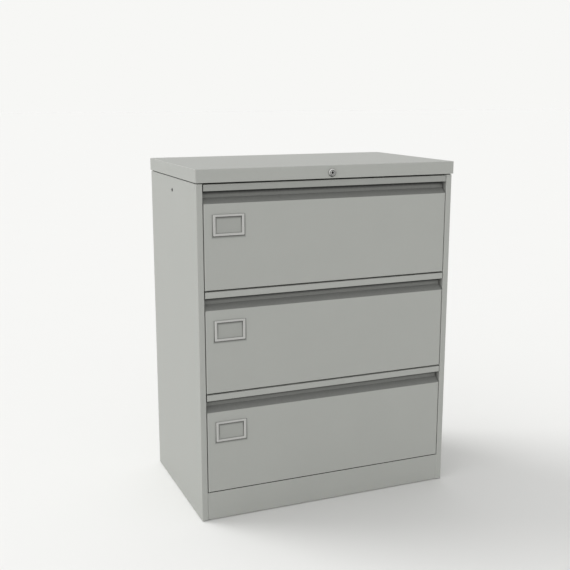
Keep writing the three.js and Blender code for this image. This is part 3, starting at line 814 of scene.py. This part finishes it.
class CABINET_OT_back(bpy.types.Operator):
    """Back sheet behind the side flanges, and the marks of the spot welds that hold it"""

    bl_idname = "cabinet.back"
    bl_label = "Back"

    WELDS = [(50 + 87 * k) * MM for k in range(11)]  # heights above the sheet's lower edge
    ROUND = 1.5 * MM  # of the sheet's corners
    # painted shade on the inside
    THIN = 0.85

    def execute(self, context):
        low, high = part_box("back_panel")

        def coat(point):
            """Painted shade on the inside."""
            return self.THIN if point.y < low.y + ON_PLANE else 0.0

        sheet = Work().box(low, high, "Y", self.ROUND)
        sheet.finished("back_sheet", "carcass", "paint", "back_panel", thin=coat)
        x = HALF - BACK_FLANGE * 0.5
        places = [((side * x, BACK, low.z + z), (0, 1, 0)) for side in SIDES.values() for z in self.WELDS]
        repeated(weld_marks, places, "back_welds", "carcass", "paint", Width=settings().detail.weld)
        return {"FINISHED"}


class CABINET_OT_base(bpy.types.Operator):
    """Base tray, kick plate and the four levelling feet with their threaded stems and nuts"""

    bl_idname = "cabinet.base"
    bl_label = "Base and feet"

    STEM_HOLE = 5.3 * MM
    KICK_TOP, KICK_FOOT = 19 * MM, 15 * MM  # depth of the kick plate's folds
    PAD = [(0, 0), (17.6, 0), (18.7, 0.5), (19, 1.6), (19, 3.4), (18.5, 4.3), (14, 5.6), (10.5, 7.3)]
    PAD += [(9.4, 8), (0, 8)]
    ROOT, CREST = 4.2 * MM, 5 * MM  # radii of the thread
    STEM_START, THREAD_START, PLAIN = 7 * MM, 8.4 * MM, 10 * MM  # PLAIN is the length without thread
    NUT, NUT_SPAN = 9.3 * MM, (31.5 * MM, 39.5 * MM)

    def execute(self, context):
        low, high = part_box("base_panel")
        feet = {n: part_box(n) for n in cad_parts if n.startswith("levelling_foot")}
        through = (high.z - 3 * MM, high.z + MM)
        holes = [Work().drill("Z", self.STEM_HOLE, through, (a + b) / 2, 24) for a, b in feet.values()]
        finished(cut(pan(low, high, -1), *holes), "base_tray", "carcass", "paint", "base_panel")

        low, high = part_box("plinth_panel")
        top, foot = low.y + self.KICK_TOP, low.y + self.KICK_FOOT
        section = [(top, high.z), (low.y, high.z), (low.y, low.z), (foot, low.z)]

        def coat(point):
            """Painted shade on top, under the lowest front."""
            return 1.0 if point.z > high.z - EDGE and point.y > low.y + EDGE else 0.0

        plate = Work().fold("X", section, (low.x, high.x))
        plate.finished("kick_plate", "carcass", "paint", "plinth_panel", thin=coat)
        for node, (a, b) in feet.items():
            self.foot(node, (a + b) / 2, a.z, b.z)
        return {"FINISHED"}

    def foot(self, node, centre, floor, top):
        place = node.removeprefix("levelling_foot_")
        pad = Work().turned("Z", [(r * MM, floor + z * MM) for r, z in self.PAD], centre)
        pad.finished(f"foot_pad_{place}", "carcass", "nylon", node)
        pitch = settings().detail.thread
        rows = [(0, floor + self.STEM_START), (self.ROOT, floor + self.STEM_START)]
        for k in range(int((top - floor - self.PLAIN) / pitch)):
            z = floor + self.THREAD_START + k * pitch
            rows += [(self.ROOT, z), (self.CREST, z + 0.4 * pitch), (self.CREST, z + 0.55 * pitch)]
        stem = Work().turned("Z", [*rows, (self.ROOT, top), (0, top)], centre, 28)
        stem.prism("Z", arc(centre, self.NUT, 0, FULL_TURN, 6)[:-1], [floor + z for z in self.NUT_SPAN])
        stem.finished(f"foot_stem_{place}", "carcass", "zinc", smooth=25)


class CABINET_OT_posts(bpy.types.Operator):
    """Runner posts with their row of slots, and the cross rail under the lid"""

    bl_idname = "cabinet.posts"
    bl_label = "Posts and rail"

    BEND = 2.6 * MM
    PLAIN = 30 * MM  # length at each end of a post that has no slots
    STUD = (377.904 * MM, 1002.773 * MM)  # on the rail, for the bell crank

    def execute(self, context):
        detail = settings().detail
        for name, side in SIDES.items():
            for end in ("front", "rear"):
                node = f"{name}_{end}_post"
                low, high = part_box(node)
                wall = max(abs(low.x), abs(high.x))
                plan = [(wall, high.y), (OPENING, high.y), (OPENING, low.y), (wall, low.y)]
                work = Work().fold("Z", sided(plan, side), (low.z, high.z), settings().sheet.post_gauge, self.BEND)
                slots = {
                    "Start": (side * OPENING, (low.y + high.y) / 2, low.z + self.PLAIN),
                    "Step": (0, 0, detail.slot_pitch),
                    "Count": int((high.z - low.z - 2 * self.PLAIN) / detail.slot_pitch) + 1,
                    "Turn": UP_SLOT,
                    "Length": detail.slot_length,
                    "Width": detail.slot_width,
                }
                obj = tree(slot_rows).run(work.object(node), "paint", **slots)
                finished(obj, f"post_{end}_{name}", "carcass", "paint", node)

        low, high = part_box("top_front_rail")
        section = [(high.y, high.z), (RAIL_FRONT, high.z), (RAIL_FRONT, low.z), (high.y, low.z)]
        rail = Work().fold("X", section, (low.x, high.x))
        tip, root = low.y, RAIL_FRONT + 0.5 * MM
        rows = [(0, tip), (2.4, tip), (3, tip + 0.6 * MM), (3, root), (0, root)]
        rail.turned("Y", [(r * MM, y) for r, y in rows], self.STUD, 28)
        rail.finished("top_rail", "carcass", "paint", "top_front_rail")
        return {"FINISHED"}


class CABINET_OT_runners(bpy.types.Operator):
    """Telescopic runners: outer, middle and inner members on both sides of each drawer"""

    bl_idname = "cabinet.runners"
    bl_label = "Runners"

    BEND, LIP = 1.9 * MM, 2.8 * MM
    SLOTS = {"outer": (14 * MM, 6 * MM), "middle": (20 * MM, 9 * MM), "inner": (9 * MM, 6 * MM)}  # length and width
    FIRST_SLOT, SLOT_PITCH, SLOT_COUNT, SLOT_DEPTH = 24 * MM, 48 * MM, 9, 6 * MM

    def execute(self, context):
        for number in DRAWERS:
            for name, side in SIDES.items():
                self.member(number, name, side, "outer", "carcass")
                self.member(number, name, side, "middle", f"drawer_{number}_{name}_middle_runner")
                self.member(number, name, side, "inner", f"drawer_{number}")
        return {"FINISHED"}

    def member(self, number, name, side, kind, body):
        node = f"drawer_{number}_{name}_{kind}_runner"
        low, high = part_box(node)
        near, far = sorted((abs(low.x), abs(high.x)))
        section = [(near, low.z), (far, low.z), (far, high.z), (near, high.z)]
        if kind == "outer":
            section = [(near, low.z + self.LIP), *section, (near, high.z - self.LIP)]
        elif kind == "inner":
            section = [(far, high.z), (near, high.z), (near, low.z), (far, low.z)]
        gauge = settings().sheet.runner_gauge
        work = Work().fold("Y", sided(section, side), (low.y, high.y), gauge, self.BEND)
        web = near if kind == "inner" else far
        slots = {
            "Start": (side * web, low.y + self.FIRST_SLOT, (low.z + high.z) / 2),
            "Step": (0, self.SLOT_PITCH, 0),
            "Count": self.SLOT_COUNT,
            "Turn": ALONG_SLOT,
            "Length": self.SLOTS[kind][0],
            "Width": self.SLOTS[kind][1],
            "Depth": self.SLOT_DEPTH,
        }
        obj = tree(slot_rows).run(work.object(node), "zinc", **slots)
        finished(obj, f"{kind}_runner_{number}_{name}", body, "zinc", node)


class CABINET_OT_fronts(bpy.types.Operator):
    """Drawer fronts: hemmed grip strip, sloped recess, face and returns"""

    bl_idname = "cabinet.fronts"
    bl_label = "Drawer fronts"

    GAP_X, GAP_Z = 0.5 * MM, 0.6 * MM  # taken off the edges, so that the gaps show
    STRIP, HEM = 18.8 * MM, 12 * MM  # down from the top, to the strip's lower edge and to the end of its hem
    MOUTH, SPLIT = 35 * MM, 3 * MM  # down from the strip to the face, and on to where the returns begin
    RECESS, SLOPE = 20 * MM, 16 * MM  # depth of the recess, and height of its sloped floor
    FADE_START, FADE_END = 5.5 * MM, 12.5 * MM  # down from the strip, where the painted shade on the wall fades
    RETURN, HEM_RADIUS = 20 * MM, 1.1 * MM
    THIN, HANDLED = 0.52, 0.2  # painted shade in the recess, and painted shadow of the lid on the top drawer's strip

    def execute(self, context):
        for number in DRAWERS:
            self.front(number)
        return {"FINISHED"}

    def front(self, number):
        sheet = settings().sheet
        node = f"drawer_{number}_front"
        low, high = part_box(node)
        front, back, half = low.y, high.y, high.x - self.GAP_X
        top, bottom = high.z - self.GAP_Z, low.z + self.GAP_Z
        strip, hem = high.z - self.STRIP, top - self.HEM
        mouth = strip - self.MOUTH
        split = mouth - self.SPLIT
        deep = front + self.RECESS
        behind, under = front + sheet.gauge, top - sheet.gauge
        grip = [(behind, hem), (behind, under), (deep, under)]
        grip += [(deep, strip - self.FADE_START), (deep, strip - self.FADE_END)]
        grip += [(deep, mouth + self.SLOPE), (front, mouth), (front, split)]
        work = Work().fold("X", grip, (-half, half))
        radius = self.HEM_RADIUS
        edge = arc((front + radius, strip + radius), radius, math.pi, math.pi, 8)
        work.prism("X", [(front, hem), *edge, (front + 2 * radius, hem)], (-half, half))
        inner = half - sheet.bend - 2 * MM
        face = [(front, split), (front, bottom), (back, bottom), (back, bottom + self.RETURN)]
        work.fold("X", face, (-inner, inner))
        plan = [(inner, front), (half, front), (half, back), (half - self.RETURN, back)]
        for side in (1, -1):
            work.fold("Z", sided(plan, side), (bottom, split))
        lid_shadow = self.HANDLED if number == 1 else 0.0

        def coat(point):
            """Painted shade in the recess, darkest behind the strip, and a painted shadow of the lid on the top
            drawer's strip.
            """
            depth = point.y - front
            wall = self.RECESS * max(0, min(1, (point.z - mouth) / self.SLOPE))
            in_front = depth < ON_PLANE
            if in_front or depth > wall + 0.6 * sheet.gauge or point.z > top - 0.1 * MM or point.z < split:
                return lid_shadow if in_front and point.z > strip else 0.0
            if depth > (0.8 if point.z > hem else 2) * sheet.gauge and point.z > strip - self.FADE_END + ON_PLANE:
                return 1.0
            return self.THIN * min(1, 2 * depth / sheet.gauge)

        work.finished(f"front_{number}", f"drawer_{number}", "paint", node, thin=coat)


class CABINET_OT_trays(bpy.types.Operator):
    """Trays with a folded rim and pressed ribs in the floor, and the file rails that rest on the rim"""

    bl_idname = "cabinet.trays"
    bl_label = "Trays and file rails"

    RIMS = (10 * MM, 10 * MM)
    RIBS, RIB_LENGTH = (-280, -140, 0, 140, 280), 330 * MM  # places across, in millimetres
    RAIL_EDGE = 1.4 * MM  # radius
    FOOT_RISE, FOOT_REACH, FOOT_BEND = 9.6 * MM, 13 * MM, 2.2 * MM
    FOOT_SPAN = (0.4 * MM, 9.4 * MM)  # in from the rail's end

    def execute(self, context):
        detail = settings().detail
        for number in DRAWERS:
            body = f"drawer_{number}"
            node = f"{body}_tray"
            low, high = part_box(node)
            finished(pan(low, high, 1, self.RIMS), f"tray_{number}", body, "paint", node)
            middle, floor = (low.y + high.y) / 2, low.z + settings().sheet.gauge
            places = [((x * MM, middle, floor), (0, 0, 1)) for x in self.RIBS]
            sizes = {"Length": self.RIB_LENGTH, "Width": detail.rib_width, "Rise": detail.rib_rise}
            repeated(floor_ribs, places, f"tray_ribs_{number}", body, "paint", **sizes)
            for end in ("front", "rear"):
                self.file_rail(number, end)
        return {"FINISHED"}

    def file_rail(self, number, end):
        """Bar with round edges, and a foot at each end that is screwed to the rim."""
        node = f"drawer_{number}_{end}_file_rail"
        low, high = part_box(node)
        work = Work().prism("X", round_box((low.y, low.z), (high.y, high.z), self.RAIL_EDGE), (low.x, high.x))
        sole = low.z - SEAT + RAIL_FOOT
        foot = [(high.y, sole + self.FOOT_RISE), (high.y, sole), (high.y + self.FOOT_REACH, sole)]
        for side in SIDES.values():
            x = sorted(side * (high.x - d) for d in self.FOOT_SPAN)
            work.fold("X", foot, x, RAIL_FOOT, self.FOOT_BEND)
        work.finished(f"file_rail_{end}_{number}", f"drawer_{number}", "zinc", node)


class CABINET_OT_card_holders(bpy.types.Operator):
    """Card holders: a crowned frame that stands off the face, open behind its top bar"""

    bl_idname = "cabinet.card_holders"
    bl_label = "Card holders"

    BAR = 7 * MM
    LOWER, UPPER = 0.9, 0.8  # width of the lower and upper bars as a share of the side bars
    LEG, LEG_DEPTH, INSET, LAP = 3.4 * MM, 1.3 * MM, 0.4 * MM, 3 * MM  # of the bars that stand on the face
    SECTION = [(0, 1.2), (0, 2.1), (0.25, 2.8), (0.8, 3.25), (1.7, 3.45), (3.5, 3.5), (5.3, 3.45), (6.2, 3.25)]
    SECTION += [(6.75, 2.8), (7, 2.1), (7, 1.2)]
    CORNER, MITRE = 2.2 * MM, 0.25 * MM  # radius outside, and the least inside
    FILM, TUCK = 0.12 * MM, 0.6 * MM  # thickness of the sheet that carries the painted shadow, and how far it reaches under the bars
    REACH = (5 * MM, 8 * MM, 2 * MM)  # of the painted shadow beside the bars, below them and above them
    CORNER_SHADE = (0.45, 0.5, 1, 1, 0.5, 1, 1, 0.65)  # painted shade at the inside corners, then at the outside ones
    MIDDLE_SHADE = 0.12  # painted shade in the middle

    def execute(self, context):
        for number in DRAWERS:
            node = f"drawer_{number}_card_holder"
            low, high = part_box(node)
            work = Work()
            self.frame(work, low, high)
            face, foot = high.y - self.LEG_DEPTH, low.z + self.INSET
            for x in (low.x + self.INSET, high.x - self.INSET - self.LEG):
                work.box((x, face, foot), (x + self.LEG, high.y, high.z - self.LAP / 2), "Z")
            work.box((low.x + self.LAP, face, foot), (high.x - self.LAP, high.y, foot + self.LEG))
            work.finished(f"card_holder_{number}", f"drawer_{number}", "holder", node)
            self.painted_shadows(number, low, high)
        return {"FINISHED"}

    def frame(self, work, low, high):
        """Mitred ring: a section of inset and height above the face, carried round the outline."""
        rings = []
        for inset, rise in self.SECTION:
            d = inset * MM
            corners = (low.x + d, low.z + d * self.LOWER), (high.x - d, high.z - d * self.UPPER)
            outline = round_box(*corners, max(self.CORNER - d, self.MITRE))
            rings.append(work.row("Y", outline, high.y - rise * MM))
        work.faces([quad for a, b in zip(rings, rings[1:] + rings[:1]) for quad in band(a, b)])

    def painted_shadows(self, number, low, high):
        """Thin sheet on the face that carries a painted shadow, darkest next to the holder's bars and below them."""
        tuck = self.TUCK
        left, right = low.x + self.BAR, high.x - self.BAR
        lower, upper = low.z + self.BAR * self.LOWER, high.z - self.BAR * self.UPPER
        beside, below, above = self.REACH
        (x0, z0), (x1, z1) = clean = (left + beside, lower + above), (right - beside, upper - below)
        inside = box_corners((left - tuck, lower - tuck), (right + tuck, upper + tuck))

        def around(out, down):
            """Line from the top left corner, under the holder, to the top right one."""
            left, right, under = low.x - out, high.x + out, low.z - down
            return [(left, high.z), (left, under), (right, under), (right, high.z)]

        foot, edge = around(-tuck, -tuck), around(beside, below)
        span = (high.y - self.FILM, high.y)
        work = Work().film(inside, box_corners(*clean), span).film(foot, edge, span, closed=False)
        work.box((x0, span[0], z0), (x1, span[1], z1), "X", 0.02 * MM)
        shade_at_corners = list(zip(inside + foot, self.CORNER_SHADE))

        def coat(point):
            if x0 - tuck < point.x < x1 + tuck and z0 - tuck < point.z < z1 + tuck:
                return self.MIDDLE_SHADE
            near = [amount for (x, z), amount in shade_at_corners if math.hypot(point.x - x, point.z - z) < ON_PLANE]
            return max(near, default=0.0)

        work.finished(f"card_holder_shadows_{number}", f"drawer_{number}", "paint", thin=coat)


class CABINET_OT_lock(bpy.types.Operator):
    """Lock: turned bezel and barrel, plug with its keyway, and the nut behind the lid's face"""

    bl_idname = "cabinet.lock"
    bl_label = "Lock"

    BEZEL = [(6.4, 2.6), (6.4, 1.9), (6.9, 1.5), (7.6, 0.5), (8.2, 0), (9, 0.1), (9.8, 0.7), (10.8, 2.2)]
    BEZEL += [(11.5, 3.4), (11.9, 4.6), (12, 5.5), (11.9, 5.7), (9, 5.7)]
    BORE, BARREL, PLUG, TAIL = 6.4 * MM, 9 * MM, 6 * MM, 3.5 * MM  # radii, and half the tail's width
    PLUG_FACE = [(0, 0.15), (3.2, 0.15), (4.6, 0.15), (5, 0), (5.6, 0.05), (6, 0.5)]
    KEYWAY = [(-1.2, 4), (-1.2, 1.4), (-0.5, 1), (-0.5, -0.6), (-1.2, -1), (-1.2, -4)]
    KEYWAY += [(1.2, -4), (1.2, -1.8), (0.6, -1.4), (0.6, 0.3), (1.2, 0.7), (1.2, 4)]
    KEY_DEPTH = 5 * MM
    GROOVE, RIM, KEYED = 7.2, 8.6, 4.4  # radii in millimetres, where the painted shade changes

    def execute(self, context):
        front, end = LOCK_LOW.y, LOCK_HIGH.y
        rows = [(r * MM, front + y * MM) for r, y in self.BEZEL] + [(self.BARREL, end), (self.BORE, end)]
        housing = Work().turned("Y", rows, LOCK, 64, ring=True)
        housing.finished("lock_bezel", "carcass", "chrome", "lock_housing", smooth=50, thin=self.groove_and_rim_shade)

        low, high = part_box("lock_plug")
        rows = [(r * MM, low.y + y * MM) for r, y in self.PLUG_FACE] + [(self.PLUG, end), (0, end)]
        plug = Work().turned("Y", rows, LOCK, 64)
        tail = (LOCK_X - self.TAIL, end - 0.5 * MM, LOCK_Z - self.TAIL)
        plug.box(tail, (LOCK_X + self.TAIL, high.y, LOCK_Z + self.TAIL), "Y", 0.5 * MM)
        keyway = [(LOCK_X + x * MM, LOCK_Z + z * MM) for x, z in self.KEYWAY]
        obj = cut(plug.object("plug"), Work().prism("Y", keyway, (low.y - MM, low.y + self.KEY_DEPTH)))
        finished(obj, "lock_plug_piece", "lock_core", "chrome", "lock_plug", smooth=50, thin=self.keyway_shade)
        finished(eased("lock_nut", 0.5 * MM), "lock_nut_piece", "carcass", "zinc", "lock_nut")
        return {"FINISHED"}

    def groove_and_rim_shade(self, point):
        """Painted shade: full in the groove round the plug, and along the rim it grows towards the lower right."""
        x, z = (point.x - LOCK_X) / MM, (point.z - LOCK_Z) / MM
        away = math.hypot(x, z)
        if away < self.GROOVE:
            return 0.9
        return max(0.0, min(1.0, 0.35 + (0.6 * x - 0.8 * z) / away)) if away > self.RIM else 0.1

    def keyway_shade(self, point):
        """Painted shade: full in the keyway, and fading outwards over the plug's face."""
        return 1.0 if math.hypot(point.x - LOCK_X, point.z - LOCK_Z) < self.KEYED * MM else 0.0


class CABINET_OT_lock_rods(bpy.types.Operator):
    """Cam, link, bell crank, lock bar, their guides and the catches on the trays"""

    bl_idname = "cabinet.lock_rods"
    bl_label = "Lock rods"

    BODIES = {"lock_cam": "lock_core", "lock_link": "lock_link", "bell_crank": "bell_crank", "lock_bar": "lock_bar"}
    BODIES |= {"link_guide": "carcass", "lock_bar_guide": "carcass"}
    BODIES |= {f"drawer_{number}_lock_catch": f"drawer_{number}" for number in DRAWERS}
    BREAK = 0.3 * MM  # off each edge

    def execute(self, context):
        for node, body in self.BODIES.items():
            finished(eased(node, self.BREAK), f"{node}_piece", body, "zinc", node)
        return {"FINISHED"}


class CABINET_OT_screws(bpy.types.Operator):
    """Screws that hold the inner runners, the fronts and the file rails to each tray"""

    bl_idname = "cabinet.screws"
    bl_label = "Screws"

    FRONT_X, FRONT_Z = (-310, -105, 105, 310), (45, 185)  # in millimetres, as RUNNER_Y
    RUNNER_Y = (-156.2, -12.2, 131.8)
    RAIL_X, RAIL_Y = 4.9 * MM, 8 * MM  # in from a file rail's end, and behind it

    def execute(self, context):
        detail, sheet = settings().detail, settings().sheet
        for number in DRAWERS:
            body = f"drawer_{number}"
            low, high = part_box(f"{body}_tray")
            y = low.y + sheet.gauge
            places = [((x * MM, y, low.z + z * MM), (0, 1, 0)) for x in self.FRONT_X for z in self.FRONT_Z]
            a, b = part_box(f"{body}_left_inner_runner")
            web, middle = high.x + SEAT + sheet.runner_gauge, (a.z + b.z) / 2
            for side in SIDES.values():
                for end in ("front", "rear"):
                    _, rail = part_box(f"{body}_{end}_file_rail")
                    x, y = side * (rail.x - self.RAIL_X), rail.y + self.RAIL_Y
                    places.append(((x, y, high.z + RAIL_FOOT), (0, 0, 1)))
                places += [((side * web, y * MM, middle), (side, 0, 0)) for y in self.RUNNER_Y]
            sizes = {"Head": detail.screw_head, "Rise": detail.screw_rise}
            repeated(pan_head_screws, places, f"screws_{number}", body, "zinc", **sizes)
        return {"FINISHED"}


def background_rays(nodes):
    """1 for the rays that show the background: those of the camera, of shiny faces and of clear ones."""
    camera = nodes.add("ShaderNodeLightPath")
    rays = camera + camera.also("Is Glossy Ray") + camera.also("Is Transmission Ray")
    return nodes.add("ShaderNodeMath", {"operation": "MINIMUM"}, {0: rays, 1: 1.0})


class CABINET_OT_stage(bpy.types.Operator):
    """Pale floor, soft light that leans to the left, a lamp for the floor's shadow, and the camera"""

    bl_idname = "cabinet.stage"
    bl_label = "Stage"

    REACH = 60.0  # half the floor's width
    LAMP_WAY = Vector((0.68, -0.6, -0.44))
    EYE = Vector((-1107.3, -2577.0, 1212.4)) * MM
    TURN, TILT = math.radians(-22.40), math.radians(11.86)

    def execute(self, context):
        scene = bpy.context.scene
        scene.view_settings.view_transform = "Standard"
        stage = settings().stage
        floor = self.floor(stage)
        self.dome(scene, stage)

        lamp = bpy.data.lights.new("soft_lamp", "SUN")
        lamp.energy = stage.lamp
        lamp.angle = stage.spread
        lamp.cycles.max_bounces = 0
        sun = linked("soft_lamp", lamp)
        sun.rotation_euler = self.LAMP_WAY.to_track_quat("-Z", "Y").to_euler()
        lit = bpy.data.collections.new("lit_by_soft_lamp")
        lit.objects.link(floor)
        sun.light_linking.receiver_collection = lit

        camera = bpy.data.cameras.new("camera")
        camera.lens = stage.lens
        camera.sensor_width = 36.0
        camera.clip_end = 200.0
        eye = linked("camera", camera)
        eye.location = self.EYE
        eye.rotation_euler = (QUARTER_TURN - self.TILT, 0, self.TURN)
        scene.camera = eye
        return {"FINISHED"}

    def floor(self, stage):
        """One wide sheet. It lights the cabinet in one shade and shows in another."""
        work = Work()
        corners = box_corners((-self.REACH, -self.REACH), (self.REACH, self.REACH))
        work.bm.faces.new(work.row("Z", corners, 0))
        floor = work.object("floor")
        material, nodes = new_finish("pale_floor")
        cloud = nodes.noise(nodes.place(), 3.0)
        shown = nodes.blend(cloud, shaded(stage.floor, 0.997), shaded(stage.floor, 1.003))
        tone = nodes.blend(background_rays(nodes), (*stage.bounce, 1), shown)
        nodes.shade(Base_Color=tone, Roughness=1.0, Specular_IOR_Level=0.0)
        floor.data.materials.append(material)
        return floor

    def dome(self, scene, stage):
        """Light from all round, stronger on one side, behind a plain backdrop."""
        scene.world = bpy.data.worlds.new("studio")
        scene.world.use_nodes = True
        nodes = Nodes(scene.world.node_tree)
        way = nodes.add("ShaderNodeTexCoord")
        lean = nodes.add("ShaderNodeVectorMath", {"operation": "DOT_PRODUCT"}, {0: way, 1: stage.lean}, 1)
        sky = nodes.blend(background_rays(nodes), stage.dome * (1 + lean), (*stage.backdrop, 1))
        nodes.add("ShaderNodeOutputWorld", Surface=nodes.add("ShaderNodeBackground", Color=sky, Strength=1.0))


OPERATORS = (
    CABINET_OT_lid,
    CABINET_OT_sides,
    CABINET_OT_back,
    CABINET_OT_base,
    CABINET_OT_posts,
    CABINET_OT_runners,
    CABINET_OT_fronts,
    CABINET_OT_trays,
    CABINET_OT_card_holders,
    CABINET_OT_lock,
    CABINET_OT_lock_rods,
    CABINET_OT_screws,
    CABINET_OT_stage,
)


class CABINET_PT_build(bpy.types.Panel):
    """Lists the pieces of the cabinet and the sizes that can be set"""

    bl_idname = "CABINET_PT_build"
    bl_label = "Filing cabinet"
    bl_space_type = "VIEW_3D"
    bl_region_type = "UI"
    bl_category = "Cabinet"

    def draw(self, context):
        cabinet = context.scene.filing_cabinet
        for group in (cabinet.sheet, cabinet.detail, cabinet.finish, cabinet.stage):
            box = self.layout.box()
            for name in group.__annotations__:
                box.prop(group, name)
        for operator in OPERATORS:
            self.layout.operator(operator.bl_idname)


CLASSES = (SheetSettings, DetailSettings, FinishSettings, StageSettings, CabinetSettings, *OPERATORS, CABINET_PT_build)


def register():
    for item in CLASSES:
        bpy.utils.register_class(item)
    bpy.types.Scene.filing_cabinet = PointerProperty(type=CabinetSettings)


def unregister():
    del bpy.types.Scene.filing_cabinet
    for item in reversed(CLASSES):
        bpy.utils.unregister_class(item)


def main():
    register()
    for operator in OPERATORS:
        group, name = operator.bl_idname.split(".")
        getattr(getattr(bpy.ops, group), name)()


if __name__ == "__main__":
    main()
